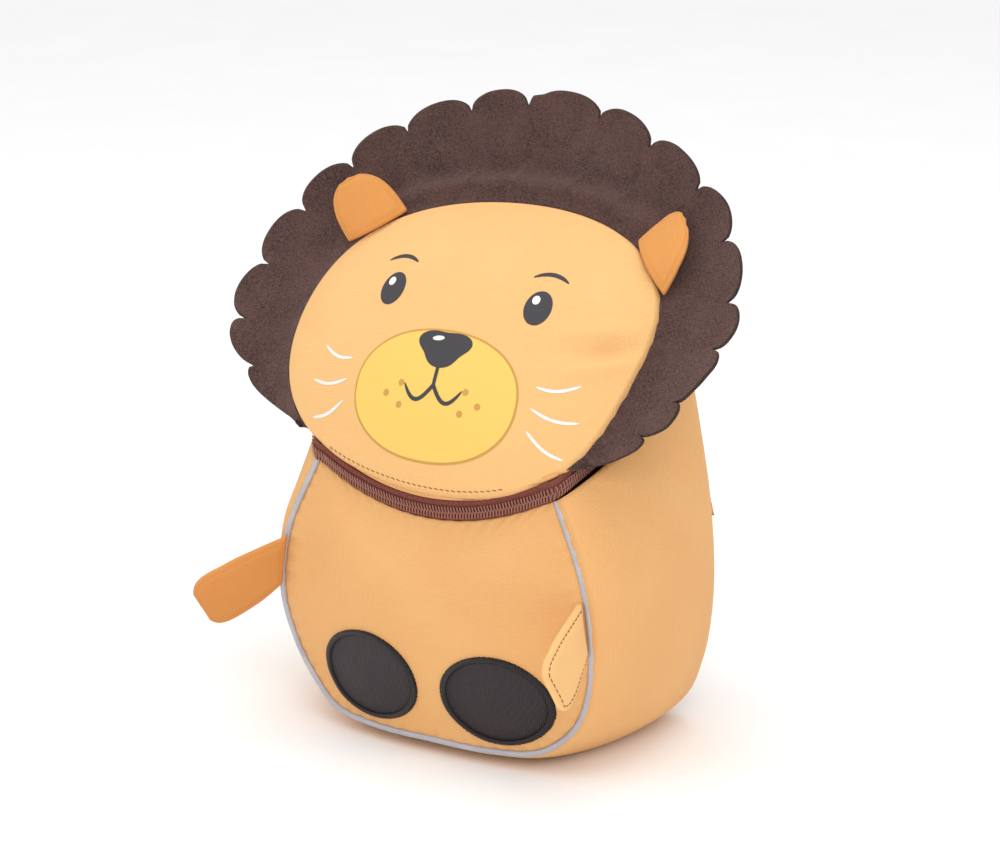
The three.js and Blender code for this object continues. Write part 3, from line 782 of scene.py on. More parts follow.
def thicken(piece: bpy.types.Object, thickness: float, offset: float = -1.0) -> None:
    """Gives a cloth object its thickness in millimetres, inwards by default.

    Args:
        piece: The cloth object.
        thickness: Its thickness in millimetres.
        offset: -1 to grow inwards, 0 to both sides, 1 outwards.
    """
    wall = piece.modifiers.new("cloth_wall", "SOLIDIFY")
    wall.thickness = thickness * MM
    wall.offset = offset
    wall.use_even_offset = False


def soften(piece: bpy.types.Object, width: float, segments: int = 2) -> None:
    """Rounds the piece's sharp edges by a width in millimetres.

    Args:
        piece: The object.
        width: Width of the rounding in millimetres.
        segments: Steps across it.
    """
    bevel = piece.modifiers.new("soft_edge", "BEVEL")
    bevel.width = width * MM
    bevel.segments = segments
    bevel.limit_method = "ANGLE"
    bevel.angle_limit = math.radians(50)


# Finishes


def linear(hex_colour: str) -> tuple[float, float, float, float]:
    """Turns an sRGB hex colour to linear red, green, blue and alpha."""
    parts = [int(hex_colour.lstrip("#")[i : i + 2], 16) / 255 for i in (0, 2, 4)]
    return (*[c / 12.92 if c <= 0.04045 else ((c + 0.055) / 1.055) ** 2.4 for c in parts], 1.0)


def add_node(tree: bpy.types.NodeTree, kind: str, inputs: dict | None = None, **settings: object) -> bpy.types.Node:
    """Adds a node, sets its properties, and fills or links its inputs.

    Args:
        tree: The material's node tree.
        kind: Blender's name for the node.
        inputs: Value or output socket for each input, by name or number.
        settings: The node's own properties.

    Returns:
        The new node.
    """
    node = tree.nodes.new(kind)
    for key, value in settings.items():
        setattr(node, key, value)
    for key, value in (inputs or {}).items():
        if isinstance(value, bpy.types.NodeSocket):
            tree.links.new(value, node.inputs[key])
        else:
            node.inputs[key].default_value = value
    return node


@dataclass(frozen=True)
class Finish:
    """What every finish has: a name and one Principled shader with a few settings."""

    name: str
    roughness: float = 0.8
    ior: float = 1.5
    sheen: float = 0.0
    sheen_tint: str = "#FFFFFF"

    def begin(self) -> tuple[bpy.types.Material, bpy.types.NodeTree, bpy.types.Node]:
        """Makes the material with its shader, ready for colour and bump.

        Returns:
            The material, its node tree and its shader.
        """
        made = bpy.data.materials.new(self.name)
        made.use_nodes = True
        tree = made.node_tree
        shader = tree.nodes["Principled BSDF"]
        shader.inputs["Roughness"].default_value = self.roughness
        shader.inputs["IOR"].default_value = self.ior
        shader.inputs["Sheen Weight"].default_value = self.sheen
        shader.inputs["Sheen Roughness"].default_value = 0.45
        shader.inputs["Sheen Tint"].default_value = linear(self.sheen_tint)
        return made, tree, shader

    def material(self) -> bpy.types.Material:
        """The finished material; each finish adds its own colour and relief."""
        return self.begin()[0]

    @staticmethod
    def cloth_place(tree: bpy.types.NodeTree, turn: float = 0.0) -> bpy.types.NodeSocket:
        """Millimetres along and across the cloth, turned by some degrees.

        Args:
            tree: The material's nodes.
            turn: Turn of the cloth in degrees.

        Returns:
            The place's socket.
        """
        where = add_node(tree, "ShaderNodeUVMap", uv_map="cloth")
        place = add_node(tree, "ShaderNodeMapping", {"Vector": where.outputs[0], "Scale": (1000, 1000, 1000)})
        place.inputs["Rotation"].default_value[2] = math.radians(turn)
        return place.outputs[0]

    @staticmethod
    def body_place(tree: bpy.types.NodeTree) -> bpy.types.NodeSocket:
        """Millimetres in the lion's own frame.

        Args:
            tree: The material's nodes.

        Returns:
            The place's socket.
        """
        where = add_node(tree, "ShaderNodeTexCoord")
        grown = {"Vector": where.outputs["Object"], "Scale": (1000, 1000, 1000)}
        return add_node(tree, "ShaderNodeMapping", grown).outputs[0]

    @staticmethod
    def threads(
        tree: bpy.types.NodeTree, place: bpy.types.NodeSocket, spacing: float, way: str
    ) -> bpy.types.NodeSocket:
        """Rounded ridges, one per thread.

        Args:
            tree: The material's nodes.
            place: Millimetres on the cloth.
            spacing: Thread spacing in millimetres.
            way: X or Y, the direction across the threads.

        Returns:
            A height from 0 to 1.
        """
        # the wave texture makes one ridge per 0.314 units at scale 1
        wave = {"Vector": place, "Scale": 0.314 / spacing, "Distortion": 0.35, "Detail": 1.0, "Detail Scale": 0.8}
        return add_node(tree, "ShaderNodeTexWave", wave, bands_direction=way, wave_profile="SIN").outputs["Fac"]


@dataclass(frozen=True)
class WovenPolyester(Finish):
    """Plain-weave polyester of spun-look yarn, piece dyed: matt, with a fine even grain of crossing threads."""

    colour: str = "#EEB878"
    light: str = "#F6C88B"
    dark: str = "#D99957"
    # about 24 threads a centimetre; drawn at 0.85 mm because 0.42 mm would not show at the render's size
    thread: float = 0.85
    roughness: float = 0.82
    sheen: float = 0.12
    sheen_tint: str = "#FFE3BC"
    turn: float = 0.0
    weave_depth: float = 0.2

    def material(self) -> bpy.types.Material:
        """Warp over weft, with slubs and a slow drift of the dye.

        Returns:
            The finished material.
        """
        made, tree, shader = self.begin()
        place = self.cloth_place(tree, self.turn)
        warp = self.threads(tree, place, self.thread, "X")
        weft = self.threads(tree, place, self.thread, "Y")
        weave = add_node(tree, "ShaderNodeMath", {0: warp, 1: weft}, operation="MULTIPLY").outputs[0]
        slub_place = add_node(tree, "ShaderNodeMapping", {"Vector": place, "Scale": (0.12, 1.1, 1.0)}).outputs[0]
        uneven = {"Vector": slub_place, "Scale": 1.0, "Detail": 3.0}
        slub = add_node(tree, "ShaderNodeTexNoise", uneven).outputs["Fac"]
        body = self.body_place(tree)
        drift = add_node(tree, "ShaderNodeTexNoise", {"Vector": body, "Scale": 0.018, "Detail": 2.0}).outputs["Fac"]
        parts = {0: weave, 6: linear(self.dark), 7: linear(self.light)}
        grain = add_node(tree, "ShaderNodeMix", parts, data_type="RGBA").outputs[2]
        parts = {0: 0.4, 6: grain, 7: linear(self.colour)}
        base = add_node(tree, "ShaderNodeMix", parts, data_type="RGBA").outputs[2]
        share = add_node(tree, "ShaderNodeMath", {0: slub, 1: 0.5, 2: -0.16}, operation="MULTIPLY_ADD")
        parts = {0: share.outputs[0], 6: base, 7: linear(self.dark)}
        toned = add_node(tree, "ShaderNodeMix", parts, data_type="RGBA").outputs[2]
        share = add_node(tree, "ShaderNodeMath", {0: drift, 1: 0.55, 2: -0.25}, operation="MULTIPLY_ADD")
        parts = {0: share.outputs[0], 6: toned, 7: linear(self.light)}
        wide = add_node(tree, "ShaderNodeMix", parts, data_type="RGBA").outputs[2]
        tree.links.new(wide, shader.inputs["Base Color"])
        both = {0: slub, 1: 0.5, 2: weave}
        height = add_node(tree, "ShaderNodeMath", both, operation="MULTIPLY_ADD").outputs[0]
        bump = {"Height": height, "Distance": self.weave_depth * MM, "Strength": 0.55}
        relief = add_node(tree, "ShaderNodeBump", bump)
        tree.links.new(relief.outputs[0], shader.inputs["Normal"])
        return made


@dataclass(frozen=True)
class ShortPileFleece(Finish):
    """Knitted polyester, brushed and sheared: a soft brown nap that lightens where it catches the light."""

    colour: str = "#432D29"
    light: str = "#75544E"
    dark: str = "#241715"
    # tufts of the sheared nap, about 1.6 mm across
    tuft: float = 1.6
    roughness: float = 0.95
    sheen: float = 0.35
    sheen_tint: str = "#B39488"

    def material(self) -> bpy.types.Material:
        """Mottled nap with brushed drifts.

        Returns:
            The finished material.
        """
        made, tree, shader = self.begin()
        place = self.body_place(tree)
        bend = add_node(tree, "ShaderNodeTexNoise", {"Vector": place, "Scale": 0.5, "Detail": 1.0}).outputs["Color"]
        shifted = {0: bend, 1: (4.0, 4.0, 4.0), 2: place}
        away = add_node(tree, "ShaderNodeVectorMath", shifted, operation="MULTIPLY_ADD")
        curl = {"Vector": away.outputs[0], "Scale": 1 / self.tuft, "Randomness": 1.0}
        crack = add_node(tree, "ShaderNodeTexVoronoi", curl, feature="DISTANCE_TO_EDGE").outputs["Distance"]
        fibre = {"Value": crack, "From Min": 0.0, "From Max": 0.22, "To Min": 1.0, "To Max": 0.0}
        strand = add_node(tree, "ShaderNodeMapRange", fibre).outputs[0]
        nap = add_node(tree, "ShaderNodeTexNoise", {"Vector": place, "Scale": 1.1, "Detail": 4.0}).outputs["Fac"]
        drift = add_node(tree, "ShaderNodeTexNoise", {"Vector": place, "Scale": 0.06, "Detail": 3.0}).outputs["Fac"]
        spread = {"Value": nap, "From Min": 0.34, "From Max": 0.66}
        mottle = add_node(tree, "ShaderNodeMapRange", spread).outputs[0]
        parts = {0: mottle, 6: linear(self.dark), 7: linear(self.colour)}
        base = add_node(tree, "ShaderNodeMix", parts, data_type="RGBA").outputs[2]
        share = add_node(tree, "ShaderNodeMath", {0: strand, 1: nap}, operation="MULTIPLY").outputs[0]
        parts = {0: share, 6: base, 7: linear(self.light)}
        curled = add_node(tree, "ShaderNodeMix", parts, data_type="RGBA").outputs[2]
        share = add_node(tree, "ShaderNodeMath", {0: drift, 1: 0.7, 2: -0.2}, operation="MULTIPLY_ADD").outputs[0]
        parts = {0: share, 6: curled, 7: linear(self.light)}
        lit = add_node(tree, "ShaderNodeMix", parts, data_type="RGBA").outputs[2]
        tree.links.new(lit, shader.inputs["Base Color"])
        both = {0: strand, 1: 0.6, 2: nap}
        height = add_node(tree, "ShaderNodeMath", both, operation="MULTIPLY_ADD").outputs[0]
        bump = {"Height": height, "Distance": 0.8 * MM, "Strength": 0.6}
        relief = add_node(tree, "ShaderNodeBump", bump)
        tree.links.new(relief.outputs[0], shader.inputs["Normal"])
        return made


@dataclass(frozen=True)
class BeadedTape(Finish):
    """Retroreflective tape, glass beads bonded to cloth and folded over a cord: satin silver with a fine grit."""

    colour: str = "#B9B7BE"
    dark: str = "#8E8C94"
    # beads are 0.05 mm; their clumps are drawn at 0.7 mm
    grit: float = 0.7
    roughness: float = 0.42

    def material(self) -> bpy.types.Material:
        """Fine grit over a half-metallic base.

        Returns:
            The finished material.
        """
        made, tree, shader = self.begin()
        shader.inputs["Metallic"].default_value = 0.25
        place = self.body_place(tree)
        beads = {"Vector": place, "Scale": 1 / self.grit, "Detail": 3.0}
        grit = add_node(tree, "ShaderNodeTexNoise", beads).outputs["Fac"]
        wide = add_node(tree, "ShaderNodeTexNoise", {"Vector": place, "Scale": 0.09, "Detail": 2.0}).outputs["Fac"]
        share = add_node(tree, "ShaderNodeMath", {0: grit, 1: 0.7, 2: -0.1}, operation="MULTIPLY_ADD")
        parts = {0: share.outputs[0], 6: linear(self.colour), 7: linear(self.dark)}
        base = add_node(tree, "ShaderNodeMix", parts, data_type="RGBA").outputs[2]
        share = add_node(tree, "ShaderNodeMath", {0: wide, 1: 0.8, 2: -0.3}, operation="MULTIPLY_ADD")
        parts = {0: share.outputs[0], 6: base, 7: linear("#D3D1D8")}
        lit = add_node(tree, "ShaderNodeMix", parts, data_type="RGBA").outputs[2]
        tree.links.new(lit, shader.inputs["Base Color"])
        bump = {"Height": grit, "Distance": 0.12 * MM, "Strength": 0.4}
        relief = add_node(tree, "ShaderNodeBump", bump)
        tree.links.new(relief.outputs[0], shader.inputs["Normal"])
        return made


@dataclass(frozen=True)
class NarrowFabric(Finish):
    """Zip tape and webbing, woven narrow on needle looms from polyester yarn: clear ribs with a slight lustre."""

    colour: str = "#8C4638"
    dark: str = "#6E3127"
    # ribs of the tape's weave; webbing is coarser
    rib: float = 0.9
    across: float = 1.4
    roughness: float = 0.7
    sheen: float = 0.1
    sheen_tint: str = "#D9A893"

    def material(self) -> bpy.types.Material:
        """Ribs along the strip, crossed by the weft's beat.

        Returns:
            The finished material.
        """
        made, tree, shader = self.begin()
        place = self.cloth_place(tree)
        rib = self.threads(tree, place, self.rib, "Y")
        beat = self.threads(tree, place, self.across, "X")
        both = {0: beat, 1: 0.6, 2: rib}
        weave = add_node(tree, "ShaderNodeMath", both, operation="MULTIPLY_ADD").outputs[0]
        shade = add_node(tree, "ShaderNodeMath", {0: weave, 1: 0.6}, operation="MULTIPLY").outputs[0]
        body = self.body_place(tree)
        worn = add_node(tree, "ShaderNodeTexNoise", {"Vector": body, "Scale": 0.5, "Detail": 3.0}).outputs["Fac"]
        parts = {0: shade, 6: linear(self.dark), 7: linear(self.colour)}
        base = add_node(tree, "ShaderNodeMix", parts, data_type="RGBA").outputs[2]
        share = add_node(tree, "ShaderNodeMath", {0: worn, 1: 0.7, 2: -0.35}, operation="MULTIPLY_ADD")
        parts = {0: share.outputs[0], 6: base, 7: linear(self.dark)}
        lit = add_node(tree, "ShaderNodeMix", parts, data_type="RGBA").outputs[2]
        tree.links.new(lit, shader.inputs["Base Color"])
        bump = {"Height": weave, "Distance": 0.25 * MM, "Strength": 0.6}
        relief = add_node(tree, "ShaderNodeBump", bump)
        tree.links.new(relief.outputs[0], shader.inputs["Normal"])
        return made


@dataclass(frozen=True)
class SpunThread(Finish):
    """Sewing thread and embroidery rayon: twisted or laid filaments with a silky gloss along their length."""

    colour: str = "#E8A45C"
    dark: str = "#B87A3B"
    filament: float = 0.45
    roughness: float = 0.5
    sheen: float = 0.1
    lustre: float = 0.0

    def material(self) -> bpy.types.Material:
        """Filaments along the thread.

        Returns:
            The finished material.
        """
        made, tree, shader = self.begin()
        shader.inputs["Anisotropic"].default_value = self.lustre
        place = self.body_place(tree)
        strand = add_node(tree, "ShaderNodeTexNoise", {"Vector": place, "Scale": 1 / self.filament, "Detail": 2.0})
        parts = {0: strand.outputs["Fac"], 6: linear(self.dark), 7: linear(self.colour)}
        tone = add_node(tree, "ShaderNodeMix", parts, data_type="RGBA").outputs[2]
        tree.links.new(tone, shader.inputs["Base Color"])
        bump = {"Height": strand.outputs["Fac"], "Distance": 0.1 * MM, "Strength": 0.5}
        relief = add_node(tree, "ShaderNodeBump", bump)
        tree.links.new(relief.outputs[0], shader.inputs["Normal"])
        return made


@dataclass(frozen=True)
class SatinStitch(Finish):
    """Rayon embroidery thread laid close side by side across the foot's border: dark, ribbed and silky."""

    colour: str = "#40333A"
    dark: str = "#191315"
    # 40-weight thread laid at 0.4 mm; drawn at 0.85 mm so that the ribs show
    lay: float = 0.85
    roughness: float = 0.4
    turned: bool = False

    def material(self) -> bpy.types.Material:
        """Ribs across the border.

        Returns:
            The finished material.
        """
        made, tree, shader = self.begin()
        place = self.cloth_place(tree)
        ribs = self.threads(tree, place, self.lay, "Y" if self.turned else "X")
        body = self.body_place(tree)
        loose = add_node(tree, "ShaderNodeTexNoise", {"Vector": body, "Scale": 0.7, "Detail": 3.0}).outputs["Fac"]
        parts = {0: ribs, 6: linear(self.dark), 7: linear(self.colour)}
        tone = add_node(tree, "ShaderNodeMix", parts, data_type="RGBA").outputs[2]
        share = add_node(tree, "ShaderNodeMath", {0: loose, 1: 0.6, 2: -0.3}, operation="MULTIPLY_ADD")
        parts = {0: share.outputs[0], 6: tone, 7: linear(self.dark)}
        lit = add_node(tree, "ShaderNodeMix", parts, data_type="RGBA").outputs[2]
        tree.links.new(lit, shader.inputs["Base Color"])
        both = {0: loose, 1: 0.3, 2: ribs}
        height = add_node(tree, "ShaderNodeMath", both, operation="MULTIPLY_ADD").outputs[0]
        bump = {"Height": height, "Distance": 0.4 * MM, "Strength": 0.9}
        relief = add_node(tree, "ShaderNodeBump", bump)
        tree.links.new(relief.outputs[0], shader.inputs["Normal"])
        return made


@dataclass(frozen=True)
class ScreenInk(Finish):
    """Pigment ink screened on the cloth: flat and matt, sunk between the threads so the weave still shows."""

    colour: str = "#434145"
    thread: float = 0.62
    roughness: float = 0.78

    def material(self) -> bpy.types.Material:
        """Flat colour over the weave's relief.

        Returns:
            The finished material.
        """
        made, tree, shader = self.begin()
        place = self.cloth_place(tree)
        warp = self.threads(tree, place, self.thread, "X")
        weft = self.threads(tree, place, self.thread, "Y")
        weave = add_node(tree, "ShaderNodeMath", {0: warp, 1: weft}, operation="MULTIPLY").outputs[0]
        red, green, blue, _ = linear(self.colour)
        thin = (red * 0.82, green * 0.82, blue * 0.82, 1.0)
        parts = {0: weave, 6: thin, 7: linear(self.colour)}
        tone = add_node(tree, "ShaderNodeMix", parts, data_type="RGBA").outputs[2]
        tree.links.new(tone, shader.inputs["Base Color"])
        bump = {"Height": weave, "Distance": 0.12 * MM, "Strength": 0.5}
        relief = add_node(tree, "ShaderNodeBump", bump)
        tree.links.new(relief.outputs[0], shader.inputs["Normal"])
        return made


@dataclass(frozen=True)
class MouldedNylon(Finish):
    """Injection moulded or extruded nylon: smooth, with the low gloss of a lightly textured tool."""

    colour: str = "#9C6656"
    dark: str = "#7A4638"
    speck: float = 1.1
    roughness: float = 0.38
    ior: float = 1.53

    def material(self) -> bpy.types.Material:
        """Slight unevenness of colour and surface.

        Returns:
            The finished material.
        """
        made, tree, shader = self.begin()
        place = self.body_place(tree)
        cloud = add_node(tree, "ShaderNodeTexNoise", {"Vector": place, "Scale": 1 / self.speck, "Detail": 2.0})
        share = add_node(tree, "ShaderNodeMath", {0: cloud.outputs["Fac"], 1: 0.9, 2: -0.2}, operation="MULTIPLY_ADD")
        parts = {0: share.outputs[0], 6: linear(self.colour), 7: linear(self.dark)}
        tone = add_node(tree, "ShaderNodeMix", parts, data_type="RGBA").outputs[2]
        tree.links.new(tone, shader.inputs["Base Color"])
        bump = {"Height": cloud.outputs["Fac"], "Distance": 0.04 * MM, "Strength": 0.4}
        relief = add_node(tree, "ShaderNodeBump", bump)
        tree.links.new(relief.outputs[0], shader.inputs["Normal"])
        return made


@dataclass(frozen=True)
class PaintedFloor(Finish):
    """Seamless studio paper: matt, almost white, with a barely uneven tone."""

    colour: str = "#FFFFFF"
    roughness: float = 0.95

    def material(self) -> bpy.types.Material:
        """Plain pale paper.

        Returns:
            The finished material.
        """
        made, tree, shader = self.begin()
        place = self.body_place(tree)
        cloud = add_node(tree, "ShaderNodeTexNoise", {"Vector": place, "Scale": 0.01, "Detail": 2.0}).outputs["Fac"]
        parts = {0: cloud, 6: linear(self.colour), 7: linear("#FAFAFA")}
        tone = add_node(tree, "ShaderNodeMix", parts, data_type="RGBA").outputs[2]
        tree.links.new(tone, shader.inputs["Base Color"])
        return made


CLOTH = WovenPolyester("polyester_apricot")
# A darker, more orange copy of the apricot cloth: painted shade on the right arm, which faces away from the lamps.
SHADED_LIMB_CLOTH = WovenPolyester("polyester_apricot_limb", colour="#DE954C", light="#EBA861", dark="#C17731")
# A darker copy of the apricot cloth: painted shade on both cupped ears.
SHADED_EAR_CLOTH = WovenPolyester("polyester_apricot_ear", colour="#E6A055", light="#F2B36B", dark="#CC8238")
# A paler copy of the apricot cloth: painted light on the face and on the left arm, the parts that face the lamps.
LIT_FACE_CLOTH = WovenPolyester("polyester_apricot_face", colour="#F4C483", light="#FCD294", dark="#E4A964")
PAD_CLOTH = WovenPolyester("polyester_apricot_pad", colour="#EBAF69", light="#F4C17F", dark="#D18F4B")
FLEECE = ShortPileFleece("fleece_brown")
FLEECE_EDGE = ShortPileFleece("fleece_brown_cut_edge", colour="#3A2723", light="#4A342F", dark="#241715", sheen=0.1)
PIPING = BeadedTape("reflective_tape")
ZIP_TAPE = NarrowFabric("zip_tape_woven")
ZIP_COIL = MouldedNylon("zip_coil_nylon")
WEBBING = NarrowFabric("webbing_brown", colour="#5E443B", dark="#35241F", rib=1.5, across=2.2)
FOOT_RIB = SatinStitch("foot_satin_ribbed", colour="#2D1F26", dark="#170E13", lay=1.15, roughness=0.5)
FOOT_BORDER = SatinStitch("foot_satin_stitch", colour="#22181D", dark="#080405")
BROWN_THREAD = SpunThread("thread_brown", colour="#8C4A2E", dark="#5C2C1B")
ORANGE_THREAD = SpunThread("thread_orange", colour="#E79A4E", dark="#B46F31")
ADJUSTER = MouldedNylon("adjuster_acetal", colour="#4C352D", dark="#33221C", roughness=0.45, ior=1.48)
INK_DARK = ScreenInk("ink_charcoal")
INK_YELLOW = ScreenInk("ink_yellow", colour="#FDD36B")
INK_WHITE = ScreenInk("ink_white", colour="#FBF8F2")
INK_EDGE = ScreenInk("ink_ochre", colour="#D9A24E")


@dataclass
class Wardrobe:
    """Hands out each finish's material, made once."""

    made: dict[str, bpy.types.Material] = field(default_factory=dict)

    def dress(self, piece: bpy.types.Object, *finishes: Finish) -> None:
        """Puts the finishes in the piece's material slots.

        Args:
            piece: The piece.
            finishes: One finish per slot, in order.
        """
        for finish in finishes:
            if finish.name not in self.made:
                self.made[finish.name] = finish.material()
            piece.data.materials.append(self.made[finish.name])


# Pieces of the bag


@dataclass
class Pouch:
    """Belly, gusset and back panel, with the seams between them."""

    form: PouchForm
    wardrobe: Wardrobe
    seam_steps: int = 220
    edge_steps: int = 70
    rings: int = 46
    quilt_spacing: float = 38
    quilt_depth: float = 1.6
    wall: float = 1.6
    pucker: float = 0.45
    edge_reach: float = 1.2
    # the gusset runs on under the edge of the back panel
    rear_lap: float = 2.2

    def build(self) -> None:
        """Makes and dresses every piece of the pouch."""
        self.belly()
        self.gusset()
        self.back_panel()

    def belly_point(self, x: Array, z: Array) -> Array:
        """Points of the belly's finished skin under points of the front view, with its soft folds.

        Args:
            x: Places to the viewer's right.
            z: Heights.

        Returns:
            One point per place.
        """
        points = np.stack([x, self.form.belly_depth(x, z), z], -1)
        points[:, 1] -= self.lumps(points)
        return points

    def lumps(self, points: Array) -> Array:
        """How far the stuffed cloth swells ahead of its even shape; nothing at its seam.

        Args:
            points: Points of the even belly.

        Returns:
            One distance per point.
        """
        loop = self.form.belly_loop(self.seam_steps, self.edge_steps, self.edge_reach)
        inset = np.sqrt(((points[:, None, [0, 2]] - loop[None, :, [0, 2]]) ** 2).sum(-1).min(1))
        swell = soft_noise(points, 34, 3.0) * 1.0 + soft_noise(points, 13, 8.0) * 0.3
        # the arms pull the cloth in a little where they are sewn on
        for side, place in ((-1, 92), (1, 84)):
            reach = np.hypot(points[:, 0] - side * 78, (points[:, 2] - place) * 0.7)
            swell = swell - 2.2 * np.exp(-((reach / 13) ** 2))
        return swell * (1 - np.exp(-inset / 6.0))

    def belly(self) -> None:
        """The stuffed front, puckered where it is sewn to the piping."""
        loop = self.form.belly_loop(self.seam_steps, self.edge_steps, self.edge_reach)
        centre = vec(0, 0, self.form.belly_centre)
        edge_plate = self.form.belly_depth(loop[:, 0], loop[:, 2])
        run = np.r_[0, np.cumsum(np.linalg.norm(np.diff(loop, axis=0), axis=1))]
        rings = []
        for r in range(self.rings + 1):
            share = (r / self.rings) ** 0.8
            flat = centre + (loop - centre) * vec(1, 0, 1) * share
            y = self.form.belly_depth(flat[:, 0], flat[:, 2]) + (loop[:, 1] - edge_plate) * share**6
            inset = np.linalg.norm(loop - centre, axis=1) * (1 - share)
            gather = np.sin(run * 2 * np.pi / 9.0 + 1.6 * np.sin(run / 21.0)) * np.exp(-inset / 7.0)
            gather = gather * (1 - np.exp(-inset / 1.5))
            points = np.c_[flat[:, 0], y, flat[:, 2]]
            skin = np.c_[flat[:, 0], self.form.belly_depth(flat[:, 0], flat[:, 2]), flat[:, 2]]
            points[:, 1] -= gather * self.pucker * 2 + self.lumps(skin)
            rings.append(points)
        rings = np.array(rings)
        rings[0] = rings[0].mean(axis=0)
        piece = disc_object("belly_cloth", rings)
        thicken(piece, self.wall)
        self.wardrobe.dress(piece, CLOTH)
        finish_piece(piece, "body_cloth", "belly_panel", fill=0.5)

    def gusset(self) -> None:
        """One band of cloth round both sides and under the base."""
        rows = []
        across = np.linspace(0, 1, 33)
        steps = self.seam_steps
        for i in range(steps + 1):
            share = i / steps
            line = self.form.gusset_line(share, across)
            tangent = self.form.front.tangent(share)
            outward = unit(vec(tangent[2], 0, -tangent[0]))
            lift = smoothstep(6, 26, line[:, 2])
            lumps = soft_noise(line, 30, 17.0) * 1.3 + soft_noise(line, 12, 5.0) * 0.35
            gather = 0.45 * math.sin(i * 0.9 + 1.5 * math.sin(i * 0.21)) * np.exp(-across * 120 / 8)
            slack = np.sin(np.pi * across) ** 0.5
            high = smoothstep(70, 120, line[0, 2])
            pillow = (3.0 + 4.0 * high) * np.maximum(0, np.sin(np.pi * across)) ** 0.45 * (1 - 0.6 * across)
            rows.append(line + outward * ((lumps * slack + gather * slack + pillow) * lift)[:, None])
        grid = np.array(rows)
        grid[:, -1] += unit(grid[:, -1] - grid[:, -2]) * self.rear_lap
        grid[..., 2] = np.maximum(grid[..., 2], 0.0)
        piece = grid_object("gusset_cloth", grid, flip=True)
        thicken(piece, self.wall)
        self.wardrobe.dress(piece, CLOTH)
        finish_piece(piece, "body_cloth", "gusset", fill=0.3)

    def back_panel(self) -> None:
        """The padded panel against the child's back, quilted in diamonds."""
        count, edge, rings = 150, 50, 30
        outline = [self.form.back.at(i / count) for i in range(count + 1)]
        outline += [self.form.hinge_edge(1 - 2 * i / edge) for i in range(1, edge)]
        outline = np.array(outline)
        centre = vec(0, self.form.back_reach, 95)
        depth, gap, sunk = self.form.back_thickness, self.form.clearance, self.quilt_depth
        shares = np.sin(np.linspace(0, 1, rings + 1) * np.pi / 2)
        both = []
        for outer in (True, False):
            for share in shares if outer else shares[::-1][1:]:
                points = centre + (outline - centre) * share
                inset = np.linalg.norm(outline - centre, axis=1) * (1 - share)
                round_edge = 1 - np.exp(-inset / 3.0)
                if outer:
                    u = (points[:, 0] + points[:, 2]) / self.quilt_spacing
                    v = (points[:, 0] - points[:, 2]) / self.quilt_spacing
                    near = np.minimum(np.abs(u - np.round(u)), np.abs(v - np.round(v))) * self.quilt_spacing
                    puff = 1 - np.exp(-near / 4.0)
                    y = gap + depth * 0.5 + (depth * 0.5 - sunk + sunk * puff) * round_edge
                else:
                    y = gap + depth * 0.5 * (1 - round_edge)
                points[:, 1] = self.form.back_reach + y
                both.append(points)
        rings_grid = np.array(both)
        rings_grid[0] = rings_grid[0].mean(axis=0)
        rings_grid[-1] = rings_grid[-1].mean(axis=0)
        piece = disc_object("back_padding", rings_grid, flip=True)
        self.wardrobe.dress(piece, PAD_CLOTH)
        finish_piece(piece, "back_padding", "back_panel", fill=0.7)


def finish_piece(piece: bpy.types.Object, slot: str, *nodes: str, fill: float | None = None) -> None:
    """Hangs a piece on the bag's one body, hides the CAD nodes that it replaces and logs its face count.

    Args:
        piece: The dressed piece.
        slot: Name of the piece's material slot; not used.
        nodes: CAD nodes that the piece replaces.
        fill: How tightly a padded piece is stuffed, where it is one; not used.
    """
    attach(piece, "root")
    if nodes:
        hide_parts(*nodes)
    LOG.info("%s: %d faces", piece.name, len(piece.data.polygons))


@dataclass
class Piping:
    """Reflective tape folded over a cord in the front seam."""

    form: PouchForm
    wardrobe: Wardrobe
    radius: float = 1.65

    def build(self) -> None:
        """The cord, with the tape's small puckers."""
        line = self.form.front.line(520)
        centre = vec(0, line[:, 1].mean(), self.form.belly_centre)
        away = unit((line - centre) * vec(1, 0, 1)) * 0.8 + vec(0, -0.6, 0)
        _, normal, side = frames_along(line, away)
        turn = np.linspace(0, 2 * np.pi, 14, endpoint=False)
        run = np.r_[0, np.cumsum(np.linalg.norm(np.diff(line, axis=0), axis=1))]
        girth = self.radius * (1 + 0.03 * np.sin(run / 2.1 + 2 * np.sin(run / 13)) * np.sin(run / 31))
        rings = np.cos(turn)[None, :, None] * normal[:, None] + np.sin(turn)[None, :, None] * side[:, None]
        piece = tube_object("piping_cord", line, line[:, None] + rings * girth[:, None, None])
        self.wardrobe.dress(piece, PIPING)
        finish_piece(piece, "piping", "piping")


